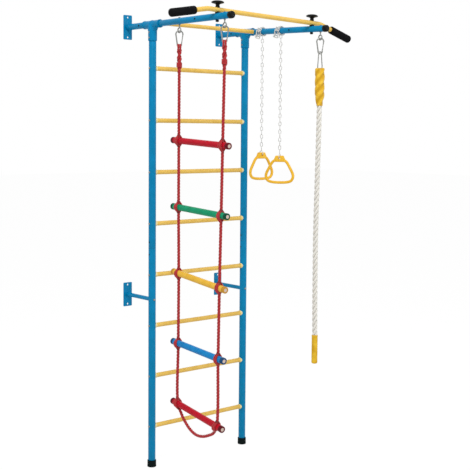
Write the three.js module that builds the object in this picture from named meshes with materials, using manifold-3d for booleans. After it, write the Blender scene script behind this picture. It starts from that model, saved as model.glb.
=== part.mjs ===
// Children's wall bars: two round posts with eight rungs, two arms that carry a pull-up bar with foam
// grips, and a rope ladder, a pair of rings on chains and a climbing rope that hang from the arms.
// Millimetres, +Z up. X runs along the wall and +Y points into it. The origin lies where the wall meets
// the floor, midway between the posts.

import * as THREE from 'three';
import { mergeVertices } from 'three/addons/utils/BufferGeometryUtils.js';
import Module from 'manifold-3d';

const wasm = await Module();
wasm.setup();

// Fits
const slip = 0.3; // gap between pieces that touch or slide in each other

// Posts and their feet
const postSpacing = 590;
const wallGap = 210; // wall to the axis of a post
const postDiameter = 36;
const postWall = 2;
const spliceHeight = 1083; // floor to the joint between the two halves of a post
const spliceLength = 120;
const spliceWall = 2;
const footDiameter = 44;
const footHeight = 34;
const footBase = 6; // rubber under the end of the post

// Rungs of the wall bars
const rungCount = 8;
const rungPitch = 250;
const lowestRungHeight = 203;
const rungDiameter = 22;
const rungWall = 1.5;

// Tee fittings on the tops of the posts
const armHeight = 2162; // floor to the axis of an arm at the post
const collarLength = 125;
const collarDiameter = 37;
const sleeveDiameter = 43;
const sleeveDrop = 78; // axis of the arm to the lower rim of the sleeve
const socketDepth = 50; // how far a post goes into its tee
const filletRadius = 14; // between collar and sleeve
const webThickness = 26;

// Arms. The right one sags in its loose socket.
const armDiameter = 30;
const armWall = 2;
const armReach = 592; // axis of the post to the tip of the end cap
const leftArmSag = 0; // degrees
const rightArmSag = 1.9; // degrees
const armCapDiameter = 33;
const armCapLength = 22;
const armCapEnd = 5; // thickness of the closed end
const crossbarDiameter = 20;
const crossbarWall = 1.5;
const crossbarReach = 75;

// Wall brackets
const plateWidth = 50;
const plateHeight = 120;
const plateThickness = 4;
const plateCorner = 4;
const plateHoleDiameter = 9;
const plateHoleSpacing = 97;
const lowerBracketHeight = 832;
const lowerRodDiameter = 20;

// Pull-up bar, its saddles, knobs and grips
const barDiameter = 22;
const barWall = 2;
const barSetback = 106; // tip of the arm to the bar
const barBendReach = 56; // arm axis to the bend
const barBendRadius = 60;
const leftBarBend = 11.2; // degrees downwards
const rightBarBend = 15.4;
const barEndReach = 251; // arm axis to the end of the bar
const saddleHeight = 3; // between the arm and the bar
const saddleWidth = 16;
const gripDiameter = 37;
const gripLength = 138;
const gripEnd = 12; // foam past the end of the bar
const gripRounding = 9;
const screwDiameter = 8;
const screwPlay = 2; // radial room of the screw in the arm and the bar
const knobDiameter = 58;
const knobNeckDiameter = 21;
const knobNeckHeight = 14;
const knobHeadHeight = 16;
const knobRim = 4;
const nutDiameter = 16;
const nutHeight = 8;

// Eye bolts and spring hooks
const eyeWire = 6;
const eyeInner = 16;
const eyeShank = 16; // underside of the arm to the wire at the top of the eye
const eyeHeadDiameter = 11;
const eyeHeadHeight = 3;
const hookWire = 6.5;
const hookLength = 80;
const hookTopWidth = 40;
const hookBottomWidth = 26;
const hookYaw = -40; // degrees
const hookRide = 1.6; // how much the crossed wires hold the hook off the eye
const gateDiameter = 5.2;
const gateNoseDrop = 5; // from the end of the top bend to the nose of the gate
const gatePivotRise = 4; // from the end of the bottom bend to the end of the wire
const noseGap = 0.5;

// Rope ladder
const ladderSetback = 56; // tip of the arm to the front rope of the ladder
const ladderWidth = 326; // between the two ropes
const ladderRungLength = 420;
const ladderRungDiameter = 30;
const ladderRungRecess = 1.2;
const ladderRungRim = 4;
const ladderFirstDrop = 437; // spring hook to the first rung
const ladderPitch = 320;
const ladderTilts = [3.1, 3.0, 5.3, 3.0, 5.9]; // degrees that each rung dips at the front
const ladderLifts = [-7, 0, 0, -9, 9]; // each rung above its even place
const ladderTwists = [1, 2, 3.5, 4.2, 5]; // degrees that each rung turns about the vertical
const ladderSways = [5, 9, 12, 16, 20]; // how far each rung hangs back towards the wall
const ladderRopeDiameter = 12.5;
const ladderEyeRope = 11;
const spliceRopeDiameter = 21;
const spliceRopeLength = 100;
const eyeletThickness = 7; // rope on each side of a rung
const eyeletHeight = 10;
const eyeletWidth = 24;
// The free bow of rope under the last rung: share of the ladder's width from the rear rope, and drop.
const bowPoints = [[0.08, 37], [0.15, 61], [0.31, 97], [0.48, 113], [0.65, 108], [0.8, 91], [0.92, 71]];

// Rings on chains
const ringReaches = [134, 270];
const ringYaws = [-4, -59]; // degrees
const ringDrops = [624, 633]; // axis of the arm to the hole in each ring
const ringWidth = 155;
const ringHeight = 119; // hole to the middle of the hand bar
const ringBar = 14;
const ringBlockWidth = 68;
const ringBlockHeight = 32;
const ringBlockThickness = 16;
const ringHoleDiameter = 10;
const ringHoleCover = 8; // plastic above the hole
const chainWidth = 15;
const chainWire = 4;
const chainWrap = 8; // thickness of the chain where it goes round the arm

// Climbing rope
const ropeSetback = 46; // tip of the arm to the rope's eye bolt
const shackleWire = 5;
const shackleWidth = 30;
const shackleYaw = 10; // degrees
const shackleRide = 2.8; // how much the crossed wires hold the bow off the hook
const shackleHeight = 76; // top of the bow to the top of the sleeve
const shackleBite = 10; // depth of a leg in the sleeve
const sleeveTopDiameter = 48;
const sleeveEndDiameter = 31;
const ropeSleeveLength = 180;
const ropeSleeveTaper = 45;
const ropeSleeveTop = 14; // thickness over the end of the rope
const ropeDiameter = 25;
const ropePlay = 0.8;
const ropeLength = 1112; // sleeve to the end whipping
const whippingDiameter = 31;
const whippingLength = 141;
const whippingEnd = 10;
const ropeBows = [0, 3, 7, 11, 14, 14, 13, 11]; // sideways wander of the hanging rope

// Places that follow from the sizes
const sides = ['left', 'right'];
const postX = { left: -postSpacing / 2, right: postSpacing / 2 };
const inward = { left: 1, right: -1 };
const armSag = { left: leftArmSag, right: rightArmSag };
const barBend = { left: leftBarBend, right: rightBarBend };
const postBore = postDiameter - 2 * postWall;
const postTop = armHeight - sleeveDrop + socketDepth;
const barReach = armReach - barSetback;
const ladderRearReach = armReach - ladderSetback - ladderWidth;
const ropeReach = armReach - ropeSetback;
const sagReach = collarLength / 4; // the arm tips about the middle of its socket
const linkSeat = (ringHoleDiameter - chainWire) / 2 - 0.8; // the last link bears on the top of the hole
const tubeSides = 16;
const rungSides = 12;
const wireSides = 6;

// Finishes
const bluePaint = () => finish(0x0a7cb8, 0.35, 0.2);
const yellowPaint = () => finish(0xdcaf45, 0.4, 0.2);
const blackRubber = () => finish(0x161616, 0.8, 0);
const blackPlastic = () => finish(0x121212, 0.45, 0);
const zincSteel = () => finish(0xa8a9a6, 0.35, 0.9);
const yellowPlastic = () => finish(0xe9b72c, 0.3, 0);
const redRope = () => finish(0xa82c30, 0.9, 0);
const paleRope = () => finish(0xdad7cf, 0.9, 0);
const ladderFinishes = [0xc00a22, 0x0f9a6c, 0xebb93a, 0x1080c8, 0xc00a22].map((hex) => () => finish(hex, 0.4, 0));

const wallBars = new THREE.Group();

function finish(color, roughness, metalness) {
  return new THREE.MeshStandardMaterial({ color, roughness, metalness });
}

function radians(degrees) {
  return THREE.MathUtils.degToRad(degrees);
}

// A closed solid for joining and cutting, with shared corners merged and flattened triangles dropped.
function solid(geometry) {
  const bare = geometry.clone();
  bare.deleteAttribute('normal');
  bare.deleteAttribute('uv');
  const merged = mergeVertices(bare, 1e-4);
  const corners = [];
  for (let i = 0; i < merged.index.count; i += 3) {
    const [a, b, c] = [0, 1, 2].map((k) => merged.index.getX(i + k));
    if (a !== b && b !== c && c !== a) corners.push(a, b, c);
  }
  const vertProperties = new Float32Array(merged.attributes.position.array);
  return new wasm.Manifold(new wasm.Mesh({ numProp: 3, vertProperties, triVerts: new Uint32Array(corners) }));
}

function geometryOf(body) {
  const mesh = body.getMesh();
  const geometry = new THREE.BufferGeometry();
  geometry.setAttribute('position', new THREE.BufferAttribute(new Float32Array(mesh.vertProperties), 3));
  geometry.setIndex(new THREE.BufferAttribute(new Uint32Array(mesh.triVerts), 1));
  geometry.computeVertexNormals();
  return geometry;
}

function add(parent, name, geometry, material) {
  const mesh = new THREE.Mesh(geometry, material);
  mesh.name = name;
  parent.add(mesh);
  return mesh;
}

function groupAt(place, turn = [0, 0, 0]) {
  const group = new THREE.Group();
  group.position.copy(place);
  group.rotation.set(...turn.map(radians));
  group.updateMatrix();
  wallBars.add(group);
  return group;
}

// Turned pieces stand on the origin and rise along +Z.
function turned(profile, segments) {
  const points = profile.map(([r, z]) => new THREE.Vector2(r, z));
  return new THREE.LatheGeometry(points, segments).rotateX(Math.PI / 2);
}

function tube(outer, inner, length, segments) {
  const [a, b] = [inner / 2, outer / 2];
  return turned([[a, 0], [b, 0], [b, length], [a, length], [a, 0]], segments);
}

function rod(diameter, length, segments) {
  const r = diameter / 2;
  return turned([[0, 0], [r, 0], [r, length], [0, length]], segments);
}

const alongX = (geometry) => geometry.rotateY(Math.PI / 2);
const forward = (geometry) => geometry.rotateX(Math.PI / 2);

// A rod of round section along an open curve.
function bentRod(points, diameter, steps, segments) {
  const section = new THREE.Shape().absarc(0, 0, diameter / 2, 0, 2 * Math.PI);
  const extrudePath = new THREE.CatmullRomCurve3(points);
  return new THREE.ExtrudeGeometry(section, { extrudePath, steps, curveSegments: segments / 2 });
}

// A rod of round section along a closed curve.
function closedRod(points, diameter, steps, segments) {
  const path = new THREE.CatmullRomCurve3(points, true);
  return new THREE.TubeGeometry(path, steps, diameter / 2, segments, true);
}

function arcPoints(x, z, radius, from, to, count) {
  return Array.from({ length: count + 1 }, (_, i) => {
    const angle = radians(from + ((to - from) * i) / count);
    return new THREE.Vector3(x + radius * Math.cos(angle), 0, z + radius * Math.sin(angle));
  });
}

// The axis of an arm at a distance in front of its post.
function armPoint(side, reach) {
  const along = reach - sagReach;
  const sag = radians(armSag[side]);
  const y = -wallGap - sagReach - along * Math.cos(sag);
  return new THREE.Vector3(postX[side], y, armHeight - along * Math.sin(sag));
}

function armMatrix(side) {
  const turn = new THREE.Matrix4().makeRotationX(radians(armSag[side]));
  return turn.setPosition(armPoint(side, sagReach));
}

// The whole length of an arm as a plain rod, for cutting seats in what rests on it.
function armSeat(side) {
  const whole = forward(rod(armDiameter + 2 * slip, armReach, tubeSides)).translate(0, sagReach, 0);
  return solid(whole.applyMatrix4(armMatrix(side)));
}

function rungHeight(index) {
  return lowestRungHeight + index * rungPitch;
}

// A length of post from one height to another, drilled on its inner side for the rungs it carries.
function postLength(side, from, to) {
  let body = solid(tube(postDiameter, postBore, to - from, tubeSides).translate(0, 0, from));
  for (let i = 0; i < rungCount; i += 1) {
    const height = rungHeight(i);
    if (height > from && height < to) {
      const drill = alongX(rod(rungDiameter + 2 * slip, postDiameter, rungSides));
      if (side === 'right') drill.translate(-postDiameter, 0, 0);
      body = body.subtract(solid(drill.translate(0, 0, height)));
    }
  }
  return geometryOf(body);
}

function addPosts() {
  for (const side of sides) {
    const post = groupAt(new THREE.Vector3(postX[side], -wallGap, 0));
    add(post, `${side}_post_lower`, postLength(side, footBase + slip, spliceHeight - slip / 2), bluePaint());
    add(post, `${side}_post_upper`, postLength(side, spliceHeight + slip / 2, postTop), bluePaint());
    const sleeveOuter = postBore - 2 * slip;
    const sleeve = tube(sleeveOuter, sleeveOuter - 2 * spliceWall, spliceLength, tubeSides);
    add(post, `${side}_splice_sleeve`, sleeve.translate(0, 0, spliceHeight - spliceLength / 2), zincSteel());
    add(post, `${side}_foot_cap`, footCap(), blackRubber());
  }
}

function footCap() {
  const [r, bore] = [footDiameter / 2, postDiameter / 2 + slip];
  const edge = (r - bore) / 2;
  const profile = [[0, 0], [r - edge, 0], [r, edge], [r, footHeight - edge], [r - edge, footHeight],
    [bore, footHeight], [bore, footBase], [0, footBase]];
  return geometryOf(solid(turned(profile, tubeSides)));
}

// The rungs reach through the inner wall of each post and stop short of the outer one.
function addRungs() {
  const chord = Math.sqrt((postBore / 2) ** 2 - (rungDiameter / 2) ** 2);
  const length = postSpacing + 2 * (chord - slip - 0.6);
  for (let i = 0; i < rungCount; i += 1) {
    const rung = alongX(tube(rungDiameter, rungDiameter - 2 * rungWall, length, rungSides));
    rung.translate(-length / 2, -wallGap, rungHeight(i));
    add(wallBars, `rung_${i + 1}`, rung, yellowPaint());
  }
}

// The fillets under the collar, cut from a plate across the sleeve.
function teeWeb() {
  const half = sleeveDiameter / 2;
  const low = -collarDiameter / 2 - filletRadius + 3;
  const web = new THREE.Shape();
  web.moveTo(-half, low);
  web.absarc(-half - filletRadius, low, filletRadius, 0, Math.PI / 2, false);
  web.lineTo(-half - filletRadius, 0);
  web.lineTo(half + filletRadius, 0);
  web.lineTo(half + filletRadius, low + filletRadius);
  web.absarc(half + filletRadius, low, filletRadius, Math.PI / 2, Math.PI, false);
  const plate = new THREE.ExtrudeGeometry(web, { depth: webThickness, bevelEnabled: false, curveSegments: 4 });
  return plate.translate(0, 0, -webThickness / 2).rotateX(Math.PI / 2).rotateZ(Math.PI / 2);
}

// The socket for the arm is wider than the arm by what the arm sags over the socket's length.
function socketPlay(side) {
  return slip + sagReach * Math.sin(radians(armSag[side]));
}

function tee(side) {
  const half = collarLength / 2;
  const collar = forward(rod(collarDiameter, collarLength, tubeSides)).translate(0, half, 0);
  const sleeve = rod(sleeveDiameter, sleeveDrop, tubeSides).translate(0, 0, -sleeveDrop);
  const postSocket = rod(postDiameter + 2 * slip, socketDepth + slip, tubeSides).translate(0, 0, -sleeveDrop);
  const frontBore = forward(rod(armDiameter + 2 * socketPlay(side), half + 1, tubeSides));
  const rearBore = forward(rod(armDiameter + 2 * slip, half + 1, tubeSides)).translate(0, half + 1, 0);
  let body = solid(collar).add(solid(sleeve)).add(solid(teeWeb()));
  for (const cut of [postSocket, frontBore, rearBore]) body = body.subtract(solid(cut));
  return geometryOf(body);
}

function addTees() {
  for (const side of sides) {
    const place = new THREE.Vector3(postX[side], -wallGap, armHeight);
    add(groupAt(place), `${side}_tee_fitting`, tee(side), bluePaint());
  }
}

// Upright holes through an arm for the eye bolts and the knob's screw.
function armHoles(side) {
  const eyes = side === 'left' ? [ladderRearReach, ladderRearReach + ladderWidth] : [ropeReach];
  const holes = eyes.map((reach) => [reach, eyeWire + 2 * slip]);
  holes.push([barReach, screwDiameter + 2 * screwPlay]);
  return holes;
}

function armTube(side) {
  const start = 2;
  const length = armReach - armCapEnd - slip - start;
  let body = solid(forward(tube(armDiameter, armDiameter - 2 * armWall, length, tubeSides))
    .translate(0, sagReach - start, 0));
  for (const [reach, diameter] of armHoles(side)) {
    const drill = rod(diameter, 2 * armDiameter, 8).translate(0, sagReach - reach, -armDiameter);
    body = body.subtract(solid(drill));
  }
  return geometryOf(body);
}

function armCap() {
  const [r, bore] = [armCapDiameter / 2, armDiameter / 2 + slip];
  const end = armCapLength;
  const profile = [[bore, 0], [r, 0], [r, end - 4], [r - 1.2, end - 1.2], [r - 4, end], [0, end],
    [0, end - armCapEnd], [bore, end - armCapEnd], [bore, 0]];
  return geometryOf(solid(turned(profile, tubeSides)));
}

function addArms() {
  for (const side of sides) {
    const arm = groupAt(armPoint(side, sagReach), [armSag[side], 0, 0]);
    add(arm, `${side}_arm`, armTube(side), bluePaint());
    const cap = forward(armCap()).translate(0, sagReach - armReach + armCapLength, 0);
    add(arm, `${side}_arm_cap`, cap, blackPlastic());
  }
}

// A group whose X axis runs from a point over the left arm to one over the right arm.
function spanGroup(left, right) {
  const middle = left.clone().add(right).multiplyScalar(0.5);
  const dip = Math.atan2(left.z - right.z, right.x - left.x);
  return groupAt(middle, [0, THREE.MathUtils.radToDeg(dip), 0]);
}

function addCrossbar() {
  const ends = sides.map((side) => armPoint(side, crossbarReach));
  const group = spanGroup(...ends);
  const length = ends[0].distanceTo(ends[1]);
  const blank = alongX(tube(crossbarDiameter, crossbarDiameter - 2 * crossbarWall, length, rungSides));
  let body = solid(blank.translate(-length / 2, 0, 0).applyMatrix4(group.matrix));
  for (const side of sides) body = body.subtract(armSeat(side));
  add(wallBars, 'crossbar', geometryOf(body), yellowPaint());
}

// A wall plate with two screw holes; its back face lies on the wall.
function wallPlate() {
  const [w, h, c] = [plateWidth / 2, plateHeight / 2, plateCorner];
  const outline = new THREE.Shape();
  outline.moveTo(-w + c, -h);
  outline.absarc(w - c, -h + c, c, -Math.PI / 2, 0, false);
  outline.absarc(w - c, h - c, c, 0, Math.PI / 2, false);
  outline.absarc(-w + c, h - c, c, Math.PI / 2, Math.PI, false);
  outline.absarc(-w + c, -h + c, c, Math.PI, 1.5 * Math.PI, false);
  for (const z of [-plateHoleSpacing / 2, plateHoleSpacing / 2]) {
    outline.holes.push(new THREE.Path().absarc(0, z, plateHoleDiameter / 2, 0, 2 * Math.PI, true));
  }
  const plate = new THREE.ExtrudeGeometry(outline, { depth: plateThickness, bevelEnabled: false, curveSegments: 4 });
  return forward(plate);
}

// The upper brackets carry a stub that goes into the rear half of the tee's collar.
function upperBracket() {
  const start = plateThickness / 2;
  const stub = forward(tube(armDiameter, armDiameter - 2 * armWall, wallGap - slip - start, tubeSides));
  return geometryOf(solid(wallPlate()).add(solid(stub.translate(0, -start, 0))));
}

// The lower brackets stand off the wall by a rod that is hollowed to fit the post.
function lowerBracket() {
  const start = plateThickness / 2;
  const spacer = forward(rod(lowerRodDiameter, wallGap - start, rungSides)).translate(0, -start, 0);
  const post = rod(postDiameter + 2 * slip, 2 * lowerRodDiameter, tubeSides).translate(0, -wallGap, -lowerRodDiameter);
  return geometryOf(solid(wallPlate()).add(solid(spacer)).subtract(solid(post)));
}

function addBrackets() {
  for (const side of sides) {
    const upper = groupAt(new THREE.Vector3(postX[side], 0, armHeight));
    add(upper, `${side}_upper_bracket`, upperBracket(), bluePaint());
    const lower = groupAt(new THREE.Vector3(postX[side], 0, lowerBracketHeight));
    add(lower, `${side}_lower_bracket`, lowerBracket(), bluePaint());
  }
}

// The axis of the pull-up bar over an arm.
function barPoint(side) {
  const rise = armDiameter / 2 + saddleHeight + barDiameter / 2;
  return armPoint(side, barReach).add(new THREE.Vector3(0, 0, rise));
}

// Half of the bar's axis in its own frame, from the middle to one end, with the bend as an arc.
function barHalf(side, armX) {
  const bend = radians(barBend[side]);
  const flat = barBendRadius * Math.tan(bend / 2);
  const bendX = armX + barBendReach;
  const tail = (barEndReach - barBendReach) / Math.cos(bend);
  const arc = arcPoints(bendX - flat, -barBendRadius, barBendRadius, 90, 90 - barBend[side], 2);
  const end = new THREE.Vector3(bendX + tail * Math.cos(bend), 0, -tail * Math.sin(bend));
  return { arc, end };
}

function barPoints(armX) {
  const [left, right] = sides.map((side) => barHalf(side, armX)).map(({ arc, end }) => [...arc, end]);
  return [...left.map((p) => new THREE.Vector3(-p.x, 0, p.z)).reverse(), ...right];
}

// Straight runs from point to point. The section stands half way between two runs where they meet.
class Runs extends THREE.Curve {
  constructor(points) {
    super();
    this.points = points;
  }

  getPointAt(share) {
    return this.points[Math.round(share * (this.points.length - 1))].clone();
  }

  getTangentAt(share) {
    const i = Math.round(share * (this.points.length - 1));
    const here = this.points[i];
    const after = (this.points[i + 1] ?? here).clone().sub(here).normalize();
    return here.clone().sub(this.points[i - 1] ?? here).normalize().add(after).normalize();
  }
}

function bentTube(points, outer, inner, segments) {
  const section = new THREE.Shape().absarc(0, 0, outer / 2, 0, 2 * Math.PI);
  section.holes.push(new THREE.Path().absarc(0, 0, inner / 2, 0, 2 * Math.PI, true));
  const options = { extrudePath: new Runs(points), steps: points.length - 1, curveSegments: segments / 2 };
  return new THREE.ExtrudeGeometry(section, options);
}

function addPullUpBar() {
  const [left, right] = sides.map(barPoint);
  const group = spanGroup(left, right);
  const armX = left.distanceTo(right) / 2;
  let body = solid(bentTube(barPoints(armX), barDiameter, barDiameter - 2 * barWall, rungSides));
  for (const x of [-armX, armX]) {
    const drill = rod(screwDiameter + 2 * screwPlay, 2 * barDiameter, 8).translate(x, 0, -barDiameter);
    body = body.subtract(solid(drill));
  }
  add(group, 'pull_up_bar', geometryOf(body), yellowPaint());
  addGrips(group, armX);
  addClamps(group, armX);
}

// Foam grips pushed over the ends of the bar, with rounded closed ends.
function gripShape() {
  const [r, bore, c] = [gripDiameter / 2, barDiameter / 2 + slip, gripRounding];
  const mouth = 3;
  const arc = [0, 30, 60, 90].map((a) => [r - c + c * Math.cos(radians(a)), gripLength - c + c * Math.sin(radians(a))]);
  const depth = gripLength - gripEnd;
  const profile = [[bore, 0], [r - mouth, 0], [r, mouth], ...arc, [0, gripLength], [0, depth], [bore, depth], [bore, 0]];
  return solid(turned(profile, tubeSides));
}

function addGrips(group, armX) {
  const depth = gripLength - gripEnd - slip;
  for (const side of sides) {
    const { end } = barHalf(side, armX);
    const holder = new THREE.Group();
    const sign = -inward[side];
    holder.position.set(sign * end.x, 0, end.z);
    holder.rotation.y = sign * (Math.PI / 2 + radians(barBend[side]));
    group.add(holder);
    add(holder, `${side}_grip`, geometryOf(gripShape()).translate(0, 0, -depth), blackRubber());
  }
}

// A mushroom knob with its screw, seen along +Z from the top of the bar.
function knob() {
  const screwEnd = barDiameter + saddleHeight + armDiameter + nutHeight + 2;
  const [r, neck, screw] = [knobDiameter / 2, knobNeckDiameter / 2, screwDiameter / 2];
  const rim = knobNeckHeight + knobHeadHeight * 0.35;
  const top = knobNeckHeight + knobHeadHeight;
  const profile = [[0, -screwEnd], [screw, -screwEnd], [screw, slip], [neck, slip], [neck - 2, knobNeckHeight * 0.6],
    [neck, knobNeckHeight], [r - knobRim, rim - 2], [r, rim], [r, rim + knobRim], [r - knobRim, top - 4],
    [r * 0.5, top - 1], [0, top]];
  return geometryOf(solid(turned(profile, tubeSides)));
}

function nut() {
  const seat = (nutDiameter / 2) * Math.sin(radians(Math.max(leftArmSag, rightArmSag)));
  const below = barDiameter + saddleHeight + armDiameter + slip + seat + nutHeight;
  const hole = rod(screwDiameter + 2 * slip, 3 * nutHeight, tubeSides).translate(0, 0, -nutHeight);
  const body = solid(rod(nutDiameter, nutHeight, 6)).subtract(solid(hole));
  return geometryOf(body).translate(0, 0, -below);
}

// A plastic block that fits the bar above and the arm below.
function saddle(side, matrix, armX) {
  const depth = barDiameter / 2 + saddleHeight + armDiameter / 2;
  const [top, bottom] = [-barDiameter * 0.25, -depth + armDiameter * 0.3];
  const block = new THREE.BoxGeometry(saddleWidth, saddleWidth, top - bottom);
  const bar = alongX(rod(barDiameter + 2 * slip, 2 * saddleWidth, tubeSides)).translate(-saddleWidth, 0, 0);
  const screw = rod(screwDiameter + 2 * screwPlay, 2 * depth, 8).translate(0, 0, -2 * depth);
  const x = -inward[side] * armX;
  const place = (geometry) => solid(geometry.translate(x, 0, 0).applyMatrix4(matrix));
  const body = place(block.translate(0, 0, (top + bottom) / 2)).subtract(place(bar)).subtract(place(screw));
  return geometryOf(body.subtract(armSeat(side)));
}

function addClamps(group, armX) {
  for (const side of sides) {
    const x = -inward[side] * armX;
    add(wallBars, `${side}_saddle`, saddle(side, group.matrix, armX), blackPlastic());
    add(group, `${side}_knob`, knob().translate(x, 0, barDiameter / 2), blackPlastic());
    add(group, `${side}_knob_nut`, nut().translate(x, 0, barDiameter / 2), blackPlastic());
  }
}

// An eye bolt through the arm: a flat head on top, a shank and a welded eye below, in the arm's plane.
function eyeBolt() {
  const r = armDiameter / 2;
  const major = (eyeInner + eyeWire) / 2;
  const shankLength = armDiameter + eyeShank + slip + eyeHeadHeight / 2;
  const shank = rod(eyeWire, shankLength, 8).translate(0, 0, -r - eyeShank);
  const head = rod(eyeHeadDiameter, eyeHeadHeight, 8).translate(0, 0, r + slip);
  const eye = new THREE.TorusGeometry(major, eyeWire / 2, wireSides, 14).rotateY(Math.PI / 2);
  eye.translate(0, 0, -r - eyeShank - major);
  return geometryOf(solid(shank).add(solid(head)).add(solid(eye)));
}

// The wire at the top of a spring hook that hangs in the eye under an arm.
function hookTop(side, reach) {
  const drop = armDiameter / 2 + eyeShank + eyeInner + eyeWire - (eyeWire + hookWire) / 2 - hookRide;
  const sag = radians(armSag[side]);
  return armPoint(side, reach).add(new THREE.Vector3(0, drop * Math.sin(sag), -drop * Math.cos(sag)));
}

function hookBottom(side, reach) {
  return hookTop(side, reach).sub(new THREE.Vector3(0, 0, hookLength - hookWire));
}

// The bends of a spring hook, and the straight side that its gate closes, from bottom to top.
function hookOutline() {
  const big = (hookTopWidth - hookWire) / 2;
  const small = (hookBottomWidth - hookWire) / 2;
  const span = hookLength - hookWire - big - small;
  const lean = THREE.MathUtils.radToDeg(Math.asin((big - small) / span));
  const topZ = -big;
  const bottomZ = -big - span;
  const [high] = arcPoints(0, topZ, big, lean, lean, 1);
  const [low] = arcPoints(0, bottomZ, small, lean, lean, 1);
  const way = high.clone().sub(low).normalize();
  return { big, small, topZ, bottomZ, lean, high, low, way };
}

function hookWireShape() {
  const { big, small, topZ, bottomZ, lean, high, low, way } = hookOutline();
  const nose = high.clone().addScaledVector(way, -gateNoseDrop);
  const foot = low.clone().addScaledVector(way, gatePivotRise);
  const topBend = arcPoints(0, topZ, big, lean, 180 - lean, 9);
  const bottomBend = arcPoints(0, bottomZ, small, 180 - lean, 360 + lean, 8);
  return bentRod([nose, ...topBend, ...bottomBend, foot], hookWire, 28, wireSides);
}

// The gate turns about the middle of its round lower end.
function gate() {
  const { high, low, way } = hookOutline();
  const r = gateDiameter / 2;
  const pivot = low.clone().addScaledVector(way, gatePivotRise + slip + r);
  const nose = high.clone().addScaledVector(way, -gateNoseDrop - noseGap);
  const length = nose.distanceTo(pivot);
  const arc = [30, 60, 90].map((a) => [r * Math.sin(radians(a)), -r * Math.cos(radians(a))]);
  const shape = geometryOf(solid(turned([[0, -r], ...arc, [r, length], [0, length]], 8)));
  const turn = new THREE.Quaternion().setFromUnitVectors(new THREE.Vector3(0, 0, 1), way);
  return shape.applyQuaternion(turn).translate(pivot.x, pivot.y, pivot.z);
}

function addHanger(side, reach, name) {
  const arm = groupAt(armPoint(side, reach), [armSag[side], 0, 0]);
  add(arm, `${name}_eye_bolt`, eyeBolt(), zincSteel());
  const hook = groupAt(hookTop(side, reach), [0, 0, hookYaw]);
  add(hook, `${name}_hook`, hookWireShape(), zincSteel());
  add(hook, `${name}_hook_gate`, gate(), zincSteel());
}

// Where a ladder rung lies: its middle and the direction of its front end.
function ladderRung(index) {
  const top = hookBottom('left', ladderRearReach);
  const [tilt, twist] = [radians(ladderTilts[index]), radians(ladderTwists[index])];
  const front = new THREE.Vector3(-Math.sin(twist), -Math.cos(twist), 0).multiplyScalar(Math.cos(tilt));
  front.z = -Math.sin(tilt);
  const y = top.y - ladderWidth / 2 + ladderSways[index];
  const middle = new THREE.Vector3(top.x, y, top.z - ladderFirstDrop - index * ladderPitch + ladderLifts[index]);
  return { middle, front };
}

// A rung laid out along its own axis from the rear end, for placing in the ladder.
function laidOut(geometry, index) {
  const { middle, front } = ladderRung(index);
  const turn = new THREE.Quaternion().setFromUnitVectors(new THREE.Vector3(0, 0, 1), front);
  return geometry.applyQuaternion(turn).translate(middle.x, middle.y, middle.z);
}

function ladderRungShape(index) {
  const r = ladderRungDiameter / 2;
  const core = r - ladderRungRim;
  const half = ladderRungLength / 2;
  const face = half - ladderRungRecess;
  const profile = [[0, -face], [core, -face], [core, -half], [r, -half], [r, half], [core, half], [core, face], [0, face]];
  return laidOut(geometryOf(solid(turned(profile, rungSides))), index);
}

// Where a rope crosses a rung. The rear rope has sign -1.
function crossing(index, sign) {
  const { middle, front } = ladderRung(index);
  return middle.clone().addScaledVector(front, (sign * ladderWidth) / 2);
}

// The rope's own eye in a spring hook, and the whipped splice below it.
function ropeEye(side, reach) {
  const seat = hookBottom(side, reach);
  const bend = (hookWire + ladderEyeRope) / 2 + 2 * slip;
  const bow = arcPoints(0, 0, bend, 0, 180, 6);
  const legs = [bend, -bend].map((x) => new THREE.Vector3(x * 0.55, 0, -2.6 * bend));
  const eye = bentRod([legs[0], ...bow, legs[1]], ladderEyeRope, 10, wireSides);
  const r = spliceRopeDiameter / 2;
  const top = -2 * bend;
  const end = top - spliceRopeLength;
  const profile = [[0, end], [r * 0.6, end], [r, end + 2 * r], [r, top - r / 2], [r * 0.8, top], [0, top]];
  const body = solid(eye).add(solid(turned(profile, 8)));
  const yaw = hookYaw + 90;
  return {
    body: solid(geometryOf(body).rotateZ(radians(yaw)).translate(seat.x, seat.y, seat.z)),
    end: seat.clone().add(new THREE.Vector3(0, 0, end + r)),
  };
}

// The strands of the rope, opened to let a rung through.
function eyelet(index, sign) {
  const r = ladderRungDiameter / 2;
  const strands = rod(2, eyeletWidth, 8).translate(0, 0, -eyeletWidth / 2);
  const at = laidOut(strands.scale(r + eyeletThickness, r + eyeletHeight, 1), index);
  const shift = crossing(index, sign).sub(ladderRung(index).middle);
  return solid(at.translate(shift.x, shift.y, shift.z));
}

// One rope from hook to hook: down the rear side, in a free bow under the last rung and up the front.
function ladderRope(reaches) {
  const last = ladderTilts.length - 1;
  const order = ladderTilts.map((_, i) => i);
  const eyes = reaches.map((reach) => ropeEye('left', reach));
  const [rear, front] = [crossing(last, -1), crossing(last, 1)];
  const bow = bowPoints.map(([share, drop]) => {
    const point = rear.clone().lerp(front, share);
    point.z = Math.max(rear.z, front.z) - drop;
    return point;
  });
  const down = order.map((i) => crossing(i, -1));
  const up = order.map((i) => crossing(last - i, 1));
  let body = solid(bentRod([eyes[0].end, ...down, ...bow, ...up, eyes[1].end], ladderRopeDiameter, 52, wireSides));
  for (const eye of eyes) body = body.add(eye.body);
  for (const i of order) body = body.add(eyelet(i, -1)).add(eyelet(i, 1));
  for (const i of order) {
    const bore = rod(ladderRungDiameter + 2 * slip, ladderRungLength, rungSides).translate(0, 0, -ladderRungLength / 2);
    body = body.subtract(solid(laidOut(bore, i)));
  }
  return geometryOf(body);
}

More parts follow.
